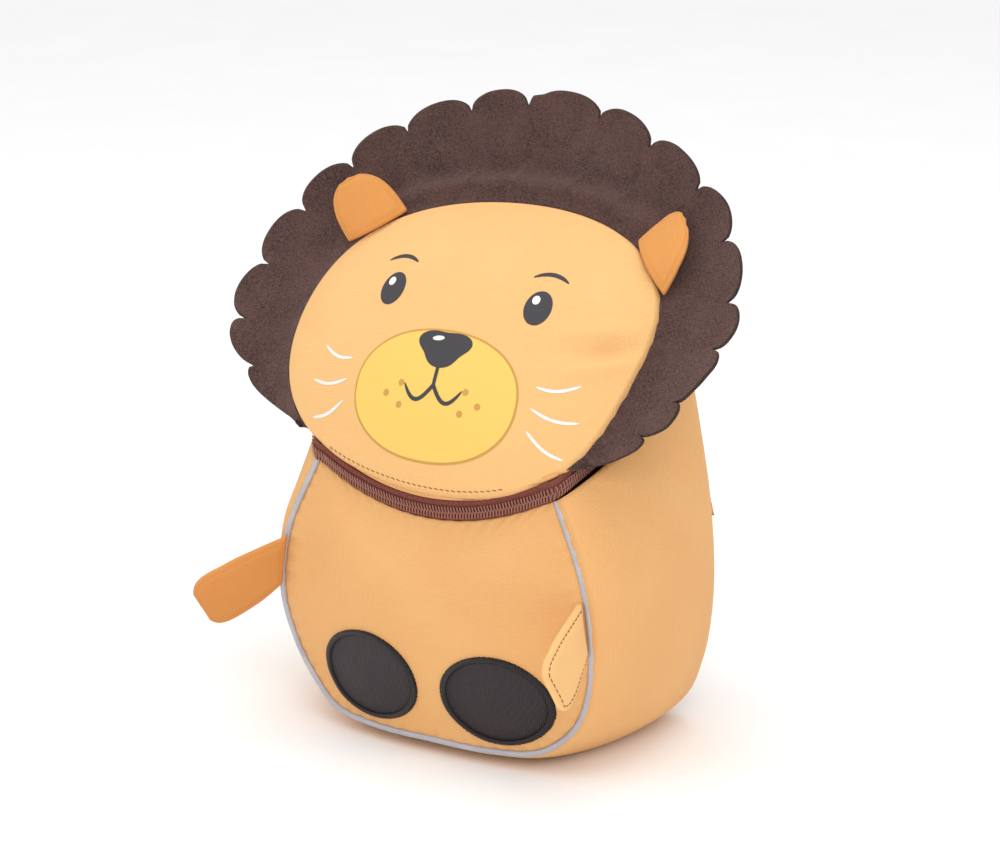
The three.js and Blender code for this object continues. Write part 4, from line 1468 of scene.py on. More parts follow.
@dataclass
class NeckZip:
    """The zip round the neck: two tapes, two interlocking coils, thread, and folds behind its ends."""

    form: PouchForm
    wardrobe: Wardrobe
    seat: float = 1.2
    lower_tape: float = 2.0
    coil_width: float = 4.4
    upper_tape: float = 2.4
    tape_thickness: float = 1.2
    clearance: float = 0.3
    pitch: float = 1.75
    coil_reach: float = 3.1
    cord: float = 0.46
    hem: float = 1.2
    # the corner folds start just before the zip's end and stand above its upper tape
    fold_start: float = 0.006
    fold_rise: float = 3.4

    def build(self) -> None:
        """Makes and dresses the zip's pieces."""
        coil_low = self.seat + self.lower_tape + 2 * self.clearance
        upper_low = coil_low + self.coil_width + self.clearance
        middle, top = coil_low + self.coil_width / 2, upper_low + self.upper_tape
        self.tape("zip_tape_below", self.seat - self.hem, middle, "zip_tape_lower")
        self.tape("zip_tape_above", middle, top + self.hem, "zip_tape_upper")
        self.coils(self.seat + 0.3)
        self.threads(upper_low)
        self.end_folds(top + self.fold_rise)

    def end_folds(self, high: float) -> None:
        """A fold of cloth that closes the corner behind each end of the zip.

        Args:
            high: How far the folds stand above the pouch's edge.
        """
        shares = np.linspace(self.form.zip_end - self.fold_start, 0.9999, 24)
        rise = np.linspace(-self.hem, high, 9)[:, None]
        swell = -0.9 + 0.9 * np.sin(np.pi * np.linspace(0, 1, 9))[:, None]
        rows = []
        for share in shares:
            out, up = self.form.neck_frame(share)
            rows.append(self.form.neck.at(share) + up * rise + out * swell)
        corner = self.form.hinge_edge(1)
        last = vec(corner[0], self.form.rear_face - self.hem, corner[2])
        edge = rows[-1]
        for part in (0.25, 0.5, 0.75, 1.0):
            row = edge + (last - edge[0]) * part
            row[:, 2] = last[2] * part + edge[0][2] * (1 - part) + rise[:, 0] * (1 - part) ** 1.5
            rows.append(row)
        for side in Side:
            grid = np.array(rows) * vec(side.value, 1, 1)
            piece = grid_object(f"zip_end_fold_{side.name.lower()}", grid, flip=side is Side.LEFT)
            thicken(piece, self.tape_thickness)
            self.wardrobe.dress(piece, CLOTH)
            finish_piece(piece, "body_cloth", fill=0.1)

    def stations(self, count: int) -> tuple[Array, Array, Array]:
        """Feet, outward and upward directions along the zip.

        Args:
            count: Number of steps.

        Returns:
            Three arrays of one row per station.
        """
        end = self.form.zip_end
        shares = 0.5 + (np.linspace(0, 1, count + 1) - 0.5) * (2 * end - 1)
        feet = np.array([self.form.neck.at(s) for s in shares])
        frames = [self.form.neck_frame(s) for s in shares]
        return feet, np.array([f[0] for f in frames]), np.array([f[1] for f in frames])

    def tape(self, name: str, low: float, high: float, node: str) -> None:
        """One woven tape between two heights above the pouch's edge.

        Args:
            name: The piece's name.
            low: Lower height.
            high: Upper height.
            node: CAD node that it replaces.
        """
        feet, out, up = self.stations(320)
        rows = np.linspace(0, 1, 9)
        heights = low + (high - low) * rows
        swell = 0.2 * np.sin(np.pi * rows) - 0.5
        grid = feet[:, None] + up[:, None] * heights[:, None] + out[:, None] * swell[:, None]
        piece = grid_object(name, grid, flip=True)
        thicken(piece, self.tape_thickness)
        soften(piece, 0.3)
        self.wardrobe.dress(piece, ZIP_TAPE)
        finish_piece(piece, "zip_tape", node)

    def coils(self, low: float) -> None:
        """Two nylon coils whose loops lie between one another.

        Args:
            low: Height of the coils' lower edge.
        """
        feet, out, up = self.stations(900)
        run = np.r_[0, np.cumsum(np.linalg.norm(np.diff(feet, axis=0), axis=1))]
        turns = int(run[-1] / self.pitch)
        per_turn = 12
        at = np.linspace(0, run[-1], turns * per_turn + 1)

        def along(values: Array) -> Array:
            """Values at the even places."""
            return np.stack([np.interp(at, run, values[:, k]) for k in range(3)], -1)

        feet, out, up = along(feet), unit(along(out)), unit(along(up))
        middle = low + self.coil_reach + 0.4
        for name, side in (("zip_coil_lower", -1), ("zip_coil_upper", 1)):
            angle = 2 * np.pi * at / self.pitch + (0 if side < 0 else np.pi)
            height = middle + side * self.coil_reach * (0.46 + 0.62 * np.cos(angle))
            depth = 0.35 + 0.62 * np.sin(angle) + 0.15 * np.cos(angle)
            line = feet + up * height[:, None] + out * depth[:, None]
            piece = cord_object(name, line, out, self.cord, self.cord, sides=8)
            self.wardrobe.dress(piece, ZIP_COIL)
            finish_piece(piece, "zip_coil", *(("zip_coil",) if side < 0 else ()))

    def threads(self, upper_low: float) -> None:
        """Thread that holds the tapes to the cloth.

        Args:
            upper_low: Height of the upper tape's lower edge.
        """
        feet, out, up = self.stations(400)
        line = feet + up * (upper_low + self.upper_tape + 0.2) + out * 0.35
        piece = stitch_object("zip_stitches_above", line, out, pitch=3.0, length=2.1, radius=0.26)
        self.wardrobe.dress(piece, BROWN_THREAD)
        finish_piece(piece, "zip_tape")


@dataclass
class Head:
    """The head's face, its print and its side wall."""

    form: HeadForm
    wardrobe: Wardrobe
    columns: int = 240
    rings: int = 44
    rim_drop: float = 4.4
    rear_lap: float = 2.6
    print_lift: float = 0.16

    def build(self) -> None:
        """Makes and dresses every piece of the head except mane and ears."""
        self.face()
        self.band()
        self.chin_stitches()
        self.muzzle()
        self.eyes()
        self.nose_and_mouth()
        self.whiskers()

    def face(self) -> None:
        """The tilted, stuffed oval."""
        angle = np.linspace(0, 2 * np.pi, self.columns, endpoint=False)
        shares = np.linspace(0, 0.975, self.rings + 1) ** 0.85
        rings, flats = [], []
        for share in shares:
            across = share * self.form.reach(angle) * self.form.face_half_width * np.cos(angle)
            along = share * self.form.reach(angle) * self.form.face_half_height * np.sin(angle)
            rings.append(self.form.skin(across, along))
            flats.append(np.stack([across, along], -1))
        seam = np.array([self.form.seam(a) for a in angle])
        way = unit(seam - self.form.middle)
        last = rings[-1]
        for t in np.linspace(0.12, 1, 9):
            curve = math.sin(t * math.pi / 2)
            edge = seam + way * 0.4 - self.form.out * (self.rim_drop * (1 - math.cos(t * math.pi / 2)))
            rings.append(last + (edge - last) * curve)
            flats.append(flats[self.rings] * (1 + 0.03 * t))
        rings = np.array(rings)
        rings[0] = rings[0].mean(axis=0)
        piece = disc_object("face_cloth", rings, flat=np.array(flats))
        thicken(piece, 1.0)
        # the face's cloth is paler than the body's: painted light
        self.wardrobe.dress(piece, LIT_FACE_CLOTH)
        finish_piece(piece, "face_cloth", "face_panel", fill=0.5)

    def band(self) -> None:
        """The wall from the zip and the back panel up to the face's seam."""
        grid = self.form.band(self.columns, 22)
        way = unit((grid[:, -1] - self.form.middle) * vec(1, 1, 0))
        share = np.linspace(0, 1, 23)
        slack = np.sin(np.pi * share) ** 0.6
        lumps = soft_noise(grid, 26, 23.0) * 1.2 + soft_noise(grid, 10, 2.0) * 0.3
        tall = smoothstep(12, 60, np.linalg.norm(grid[:, -1] - grid[:, 0], axis=1))[:, None]
        grid = grid + way[:, None] * (lumps * slack * tall - 2.0 * (1 - tall))[..., None]
        behind = grid[:, 0, 1] > self.form.pouch.back_reach - 4
        grid[behind, 0, 2] -= self.rear_lap
        piece = grid_object("head_wall", grid, wrap=True)
        thicken(piece, 2.0)
        self.wardrobe.dress(piece, CLOTH)
        finish_piece(piece, "body_cloth", "head_band", fill=0.2)

    def chin_stitches(self) -> None:
        """Brown topstitch along the chin, where the face's facing is caught down."""
        angle = np.radians(np.linspace(-124, -65, 200))
        reach = self.form.reach(angle)
        across = (reach * self.form.face_half_width - 1.4) * np.cos(angle)
        along = (reach * self.form.face_half_height - 1.4) * np.sin(angle)
        line = self.form.skin(across, along, 0.05)
        piece = stitch_object("chin_stitches", line, self.form.out, pitch=3.3, length=2.5, radius=0.24, slant=0.5)
        self.wardrobe.dress(piece, BROWN_THREAD)
        finish_piece(piece, "face_cloth")

    def decal(self, name: str, rings: list[tuple[Array, Array]], lift: float, finish: Finish) -> None:
        """A printed area whose outline has shrunk ring by ring to a point.

        Args:
            name: The piece's name.
            rings: Places across and along the face, from the middle point to the outline.
            lift: How far above the cloth.
            finish: Its ink.
        """
        points = np.array([self.form.skin(a, b, lift) for a, b in rings])
        points[0] = points[0].mean(axis=0)
        piece = disc_object(name, points, flat=np.array([np.stack([a, b], -1) for a, b in rings]))
        self.wardrobe.dress(piece, finish)
        finish_piece(piece, "face_cloth")

    def oval(self, a: float, b: float, wide: float, high: float, power: float = 2.0, turn: float = 0.0,
             rings: int = 12, count: int = 96) -> list[tuple[Array, Array]]:
        """Rings of a rounded oval round a place on the face.

        Args:
            a: Its middle across the face.
            b: Its middle up the face.
            wide: Half width.
            high: Half height.
            power: 2 for an ellipse, more for a squarer one.
            turn: Turn in degrees.
            rings: How many rings.
            count: Points in a ring.

        Returns:
            Places across and along, ring by ring.
        """
        angle = np.linspace(0, 2 * np.pi, count, endpoint=False)
        c, s = np.cos(angle), np.sin(angle)
        reach = (np.abs(c) ** power + np.abs(s) ** power) ** (-1 / power)
        x, y = wide * c * reach, high * s * reach
        t = math.radians(turn)
        x, y = x * math.cos(t) - y * math.sin(t), x * math.sin(t) + y * math.cos(t)
        return [(a + x * r / rings, b + y * r / rings) for r in range(rings + 1)]

    def line_of_ink(self, name: str, places: Array, widths: Array, lift: float, finish: Finish) -> None:
        """A printed line of changing width.

        Args:
            name: The piece's name.
            places: Points across and along the face.
            widths: Full width at each point.
            lift: How far above the cloth.
            finish: Its ink.
        """
        run = unit(np.gradient(places, axis=0))
        side = np.c_[-run[:, 1], run[:, 0]]
        shares = np.linspace(-0.5, 0.5, 5)
        spots = places[:, None] + side[:, None] * (widths[:, None] * shares)[..., None]
        points = self.form.skin(spots[..., 0], spots[..., 1], lift)
        piece = grid_object(name, points, flip=True)
        self.wardrobe.dress(piece, finish)
        finish_piece(piece, "face_cloth")

    def muzzle(self) -> None:
        """The pale muzzle with a thin printed edge."""
        edge = self.oval(0, -33, 47.5, 33.5, power=2.2, rings=22, count=140)
        self.decal("print_muzzle_edge", edge, self.print_lift, INK_EDGE)
        inner = self.oval(0, -33, 46.4, 32.4, power=2.2, rings=22, count=140)
        self.decal("print_muzzle", inner, self.print_lift + 0.1, INK_YELLOW)
        for side in (-1, 1):
            for k, (a, b) in enumerate(((19, -30), (27, -36), (18, -41))):
                dot = self.oval(side * a, b, 1.7, 1.7, rings=3, count=24)
                self.decal(f"print_freckle_{side + 2}_{k}", dot, self.print_lift + 0.2, INK_EDGE)

    def eyes(self) -> None:
        """Two separate oval eyes, each with a small highlight and a brow."""
        for side in Side:
            tag, s = side.name.lower(), side.value
            self.decal(f"print_eye_{tag}", self.oval(s * 43, 20, 7.2, 9.6), self.print_lift, INK_DARK)
            glint = self.oval(s * 43 - 2.2, 24, 2.1, 2.5, rings=4, count=32)
            self.decal(f"print_glint_{tag}", glint, self.print_lift + 0.12, INK_WHITE)
            t = np.linspace(-1, 1, 31)
            brow = np.c_[s * 44 + t * 9.5, 36.5 + 3.2 * (1 - t * t)]
            self.line_of_ink(f"print_brow_{tag}", brow, 2.4 * np.sqrt(1 - 0.97 * t * t), self.print_lift, INK_DARK)

    def nose_and_mouth(self) -> None:
        """A rounded triangular nose, a short stem and a soft double curve."""
        angle = np.linspace(0, 2 * np.pi, 120, endpoint=False)
        reach = 1 + 0.16 * np.cos(3 * (angle + np.pi / 2))
        x, y = 14.5 * reach * np.cos(angle), 9.5 * reach * np.sin(angle)
        rings = [(x * r / 12, -9 + y * r / 12) for r in range(13)]
        self.decal("print_nose", rings, self.print_lift + 0.2, INK_DARK)
        shine = self.oval(-4.5, -4.6, 3.4, 1.3, turn=8, rings=4, count=32)
        self.decal("print_nose_glint", shine, self.print_lift + 0.32, INK_WHITE)
        t = np.linspace(0, 1, 21)
        stem = np.c_[t * 0, -17 - 12 * t]
        self.line_of_ink("print_stem", stem, np.full(21, 2.0), self.print_lift + 0.22, INK_DARK)
        t = np.linspace(0, 1, 41)
        for side in Side:
            curve = np.c_[side.value * (17 * t), -29 - 9 * np.sin(np.pi * np.minimum(1, t * 0.92)) + 1.5 * t]
            width = 2.1 * np.sqrt(np.clip(1 - t**6, 0.02, 1))
            self.line_of_ink(f"print_mouth_{side.name.lower()}", curve, width, self.print_lift + 0.24, INK_DARK)

    def whiskers(self) -> None:
        """Three short curved whiskers on each cheek."""
        t = np.linspace(0, 1, 31)
        for side in Side:
            for k, (start, rise, length) in enumerate(((-20, 6, 21), (-31, -1, 24), (-42, -9, 20))):
                a = side.value * (54 + length * t)
                b = start + rise * t - 2.6 * np.sin(np.pi * t)
                width = 1.7 * np.sqrt(np.clip(1 - (2 * t - 1) ** 4, 0.03, 1))
                name = f"print_whisker_{side.name.lower()}_{k + 1}"
                self.line_of_ink(name, np.c_[a, b], width, self.print_lift, INK_WHITE)


@dataclass
class Mane:
    """One strip of fleece with a scalloped edge, gathered into the face's seam."""

    form: HeadForm
    wardrobe: Wardrobe
    steps_per_scallop: int = 24
    rings: int = 44
    sway: float = 2.2
    ridge: float = 5.0
    thickness: float = 1.7
    # guessed: its width over the forehead with an allowance, and the drawn outer edge's length
    flat: tuple[float, float] = (0.072, 0.62)
    # set so that the flat area agrees with the drawn mane's, not taken from a cutting pattern
    flat_share: float = 0.57

    def build(self) -> None:
        valleys, steps = np.array(self.form.mane_valleys), self.steps_per_scallop
        places = np.arange((len(valleys) - 1) * steps + 1) / steps
        shares = np.interp(places, np.arange(len(valleys)), valleys)
        rows = []
        for place, share in zip(places, shares):
            lobe = 2 * (place % 1) - 1
            cut = self.form.scallop_depth * (1 - math.sqrt(max(0.0, 1 - abs(lobe) ** 2.2)))
            rows.append(self.form.mane_rib(share, cut, self.rings))
        grid = np.array(rows)
        normal = -unit(np.cross(np.gradient(grid, axis=0), np.gradient(grid, axis=1)))
        width = np.linalg.norm(np.diff(grid, axis=1), axis=2).sum(1)
        out = np.linspace(0, 1, self.rings + 1)
        free = (width / 65)[:, None] * smoothstep(0.15, 1.0, out)[None]
        wave = np.sin(places * 2.1 + 0.6 * np.sin(places * 0.8))[:, None] * self.sway * free
        lumps = soft_noise(grid, 30, 41.0) * 1.6 * free + soft_noise(grid, 9, 7.0) * 0.35
        gather = np.sin(places * 2 * np.pi * 1.7 + np.sin(places * 1.3))[:, None]
        gather = gather * np.exp(-out[None] * width[:, None] / 7) * 0.6
        reach = out[None] * width[:, None]
        window = (smoothstep(0.31, 0.38, shares) * (1 - smoothstep(0.59, 0.67, shares)))[:, None]
        roll = np.exp(-(((reach - 11) / 5.5) ** 2)) - 0.5 * np.exp(-(((reach - 22) / 6) ** 2))
        trough = -1.6 * np.exp(-(((reach - 12) / 9) ** 2)) * (1 - window)
        grid = grid + normal * (wave + lumps + gather + self.ridge * roll * window + trough)[..., None]
        piece = grid_object("mane_fleece", grid)
        thicken(piece, self.thickness, offset=0)
        self.wardrobe.dress(piece, FLEECE, FLEECE_EDGE)
        piece.modifiers["cloth_wall"].material_offset_rim = 1
        finish_piece(piece, "mane_fleece", "mane")


def stuffed_object(
    name: str, grid: Array, thickness: float, edge: float, outward: Array, groove: tuple[float, float] = (0.0, 1.0)
) -> bpy.types.Object:
    """Closes two layers of cloth over a thin filling, rounded towards every edge.

    Args:
        name: The piece's name.
        grid: Outer surface by row and column, in millimetres.
        thickness: Thickness in the middle.
        edge: Width of the rounding.
        outward: Rough direction that the grid's outer side faces.
        groove: Depth of the groove that the edge seam pulls in, and its distance from the edge.

    Returns:
        The new closed object; its UV is the cloth's real size.
    """
    normal = unit(np.cross(np.gradient(grid, axis=0), np.gradient(grid, axis=1)))
    if (normal.mean(axis=(0, 1)) * outward).sum() < 0:
        normal = -normal
    middle = grid - normal * thickness / 2
    rows, columns = grid.shape[:2]
    along = run_lengths(grid, 0)
    girths = np.linalg.norm(np.diff(grid, axis=1), axis=2)
    across = np.c_[np.zeros(rows), np.cumsum(girths, axis=1)]
    near = np.minimum(across, across[:, -1:] - across)
    near = np.minimum(near, np.minimum(along, along[-1] - along)[:, None])
    half = thickness / 2 * np.sqrt(np.clip(1 - (1 - np.clip(near / edge, 0, 1)) ** 2, 0, 1))
    half = half - groove[0] * np.exp(-(((near - groove[1]) / 0.7) ** 2))
    front, back = middle + normal * half[..., None], middle - normal * half[..., None]
    flat = np.stack(np.broadcast_arrays(along[:, None], across), -1).reshape(-1, 2)
    faces = grid_faces(rows, columns)
    facing = np.cross(grid[1, 0] - grid[0, 0], grid[0, 1] - grid[0, 0]) @ normal[0, 0] < 0
    front_faces = faces if facing else faces[:, ::-1]
    number = np.arange(rows * columns).reshape(rows, columns)
    inner = np.full((rows, columns), -1)
    inner[1:-1, 1:-1] = np.arange((rows - 2) * (columns - 2)).reshape(rows - 2, columns - 2) + rows * columns
    other = np.where(inner < 0, number, inner).ravel()
    back_faces = other[front_faces[:, ::-1]]
    points = np.concatenate([front.reshape(-1, 3), back[1:-1, 1:-1].reshape(-1, 3)])
    uv = np.concatenate([flat[front_faces.ravel()], flat[front_faces[:, ::-1].ravel()]])
    return build_object(name, points, np.concatenate([front_faces, back_faces]), uv)


@dataclass
class Ear:
    """A cupped ear of two layers of cloth, folded and sewn into the face's seam."""

    form: HeadForm
    wardrobe: Wardrobe
    side: Side
    rise: tuple[float, float, float]
    place: float
    turn: float
    length: float = 30.5
    width: float = 38
    thickness: float = 3
    seat: float = 0.4
    cup: float = 6

    def build(self) -> None:
        """Makes and dresses the ear, grooved along its edge seam."""
        grid, hollow = self.surface(46, 60)
        tag = self.side.name.lower()
        piece = stuffed_object(f"ear_{tag}_cloth", grid, self.thickness + 0.8, 4.5, -hollow, (0.6, 2.6))
        # the ear's cloth is darker than the body's: painted shade
        self.wardrobe.dress(piece, SHADED_EAR_CLOTH)
        finish_piece(piece, "body_cloth", f"ear_{tag}", fill=0.4)

    def surface(self, stations: int, spans: int) -> tuple[Array, Array]:
        """The ear's outer surface and the direction of its hollow.

        Args:
            stations: Steps from root to tip.
            spans: Steps across.

        Returns:
            Points by row and column, and a unit vector.
        """
        side, form = self.side.value, self.form
        angle = math.radians(self.place if side > 0 else 180 - self.place)
        root = form.seam(angle)
        seam_run = unit(form.seam(angle + 0.02) - form.seam(angle - 0.02))
        rise = unit(np.array(self.rise) * vec(side, 1, 1))
        rows = []
        for i in range(stations + 1):
            share = math.sin(math.pi / 2 * i / stations)
            turn = math.radians(self.turn) * min(1.0, 2 * share)
            along = seam_run * math.cos(turn) + np.cross(rise, seam_run) * math.sin(turn)
            along = along + rise * (rise @ seam_run) * (1 - math.cos(turn))
            hollow = unit(np.cross(along, rise))
            half = self.width / 2 * (1 - 0.1 * share) * math.sqrt(1 - 0.9 * share**3.5)
            across = np.linspace(-1, 1, spans + 1)[:, None]
            cup = self.cup * (1 - across**2) * (1 - 0.6 * share)
            foot = root + form.out * self.seat + rise * share * self.length
            rows.append(foot + along * across * half - hollow * cup)
        return np.array(rows), hollow


@dataclass
class Arm:
    """A flat stuffed arm with a stitched edge, sewn into the front seam."""

    form: PouchForm
    wardrobe: Wardrobe
    side: Side
    root: float
    heading: tuple[float, float, float]
    turn: float
    cloth: WovenPolyester
    length: float = 50.5
    root_width: float = 28
    hand_width: float = 32
    thickness: float = 6
    rounding: float = 7.0
    # the root's distance inwards and ahead from the piping's middle
    root_reach: tuple[float, float] = (0.6, 0.9)
    seam_inset: float = 2.6

    def build(self) -> None:
        """Makes and dresses the arm, its stuffing and its edge stitches."""
        grid, outward = self.surface(60, 44)
        tag = self.side.name.lower()
        lumps = soft_noise(grid, 16, 5.0 + self.side.value) * 0.7
        grid = grid + outward * lumps[..., None]
        groove = (0.5, self.seam_inset)
        piece = stuffed_object(f"arm_{tag}_cloth", grid, self.thickness, self.rounding, outward, groove)
        self.wardrobe.dress(piece, self.cloth)
        finish_piece(piece, "body_cloth", f"arm_{tag}", fill=0.6)
        self.edge_seam(grid, outward, tag)

    def edge_seam(self, grid: Array, outward: Array, tag: str) -> None:
        """Brown topstitch a little inside the arm's edge, on its outer side.

        Args:
            grid: The arm's outer surface.
            outward: The direction that it faces.
            tag: The arm's side, for the piece's name.
        """
        inset = self.seam_inset
        girths = np.linalg.norm(np.diff(grid, axis=1), axis=2)
        across = np.c_[np.zeros(len(grid)), np.cumsum(girths, axis=1)]
        along = run_lengths(grid, 0)
        keep = [i for i in range(len(grid)) if 3 < along[i] < along[-1] - inset]
        normal = unit(np.cross(np.gradient(grid, axis=0), np.gradient(grid, axis=1)))
        normal = normal * np.sign((normal.mean(axis=(0, 1)) * outward).sum())
        sunk = self.thickness / 2 * (1 - math.sqrt(1 - (1 - inset / self.rounding) ** 2)) + 0.35
        skin = grid - normal * sunk

        def on(i: int, place: float) -> Array:
            """A point at a real distance across one row."""
            return np.array([np.interp(place, across[i], skin[i, :, k]) for k in range(3)])

        near = [on(i, inset) for i in keep]
        far = [on(i, across[i, -1] - inset) for i in keep]
        end = [on(keep[-1], p) for p in np.linspace(inset, across[keep[-1], -1] - inset, 12)[1:-1]]
        line = resample(np.array(near + end + far[::-1]), 0.8)
        piece = stitch_object(f"arm_{tag}_stitches", line, outward, 3.2, 2.4, 0.24)
        self.wardrobe.dress(piece, BROWN_THREAD)
        finish_piece(piece, "body_cloth")

    def surface(self, stations: int, spans: int) -> tuple[Array, Array]:
        """The arm's outer surface and the direction it faces.

        Args:
            stations: Steps from root to hand.
            spans: Steps across.

        Returns:
            Points by row and column, and a unit vector.
        """
        side, form = self.side.value, self.form
        low, high = 0.5, 1.0
        for _ in range(30):
            middle = (low + high) / 2
            if form.front.at(middle)[2] < self.root * form.seam_top:
                low = middle
            else:
                high = middle
        mirror = vec(side, 1, 1)
        root = (form.front.at(low) - vec(*self.root_reach, 0)) * mirror
        seam_run = form.front.tangent(low) * mirror
        out, ahead, down = self.heading
        heading = unit(vec(side * out, -ahead, -down))
        breadth = unit(seam_run - (seam_run @ heading) * heading)
        rows = []
        for i in range(stations + 1):
            share = math.sin(math.pi / 2 * i / stations)
            loose = min(1.0, share / 0.6)
            across = unit(seam_run + (breadth - seam_run) * loose)
            turn = math.radians(self.turn) * loose
            across = across * math.cos(turn) + np.cross(heading, across) * math.sin(turn)
            across = across + heading * (heading @ across) * (1 - math.cos(turn))
            width = self.root_width + (self.hand_width - self.root_width) * share
            half = width / 2 * math.sqrt(1 - 0.7 * share**12)
            reach = np.linspace(-1, 1, spans + 1)[:, None] * half
            rows.append(root + heading * share * self.length + across * reach)
        grid = np.array(rows)
        outward = unit(np.cross(heading, breadth) * (-side))
        return grid, outward


@dataclass
class Foot:
    """An oval ribbed patch on the belly inside a satin stitched border."""

    pouch: Pouch
    wardrobe: Wardrobe
    side: Side
    half_width: float = 31
    half_height: float = 25
    spread: float = 38
    height: float = 40
    border: float = 3.3
    # both patches are sewn on a little to one side and low
    shift: tuple[float, float] = (3.2, -1.3)

    def build(self) -> None:
        """Makes and dresses patch and border."""
        tag = self.side.name.lower()
        angle = np.linspace(0, 2 * np.pi, 120, endpoint=False)
        edge = 1 - (self.border - 0.6) / self.half_height
        rings = []
        for share in np.linspace(0, 1, 20):
            rings.append(self.on(share * edge, angle, 0.9 - 0.4 * share**6))
        rings = np.array(rings)
        rings[0] = rings[0].mean(axis=0)
        patch = disc_object(f"foot_{tag}_cloth", rings)
        self.wardrobe.dress(patch, FOOT_RIB)
        finish_piece(patch, "foot_patch", f"foot_{tag}_patch")
        angle = np.linspace(0, 2 * np.pi, 520, endpoint=False)
        columns = []
        across = np.linspace(-1, 1, 11)
        for c in across:
            scale = 1 - self.border / self.half_height * (0.5 - 0.5 * c)
            fray = 0.006 * np.sin(angle * 97 + 3 * np.sin(angle * 13)) * (c > 0.5)
            columns.append(self.on(scale + fray, angle, 0.15 + 1.75 * math.sqrt(max(0.0, 1 - c * c))))
        grid = np.stack(columns, axis=1)
        border = grid_object(f"foot_{tag}_stitching", grid, wrap=True, flip=True)
        self.wardrobe.dress(border, FOOT_BORDER)
        finish_piece(border, "foot_border", f"foot_{tag}_border")

    def on(self, scale: Array | float, angle: Array, lift: float) -> Array:
        """Points on the belly at a share of the foot's oval.

        Args:
            scale: Share of the oval's size.
            angle: Angles round the oval.
            lift: How far above the belly.

        Returns:
            One point per angle.
        """
        x = self.side.value * self.spread + self.shift[0] + scale * self.half_width * np.cos(angle)
        z = self.height + self.shift[1] + scale * self.half_height * np.sin(angle)
        points = self.pouch.belly_point(x, z)
        points[:, 1] -= lift
        return points


def strip_object(
    name: str, line: Array, width: float, thickness: float, edge: float, outward: Array, breadth: Array | None = None,
    spans: int = 14,
) -> bpy.types.Object:
    """Makes a closed flat strap along a line.

    Args:
        name: The piece's name.
        line: The outer surface's middle line, in millimetres.
        width: Its width.
        thickness: Its thickness.
        edge: Width of the rounding.
        outward: Rough direction away from the back, at each point or for all.
        breadth: The strap's cross direction; X where not given.
        spans: Columns across.

    Returns:
        The new object.
    """
    breadth = vec(1, 0, 0) if breadth is None else breadth
    reach = np.linspace(-0.5, 0.5, spans + 1)[None, :, None] * width
    grid = line[:, None] + reach * breadth
    return stuffed_object(name, grid, thickness, edge, outward)


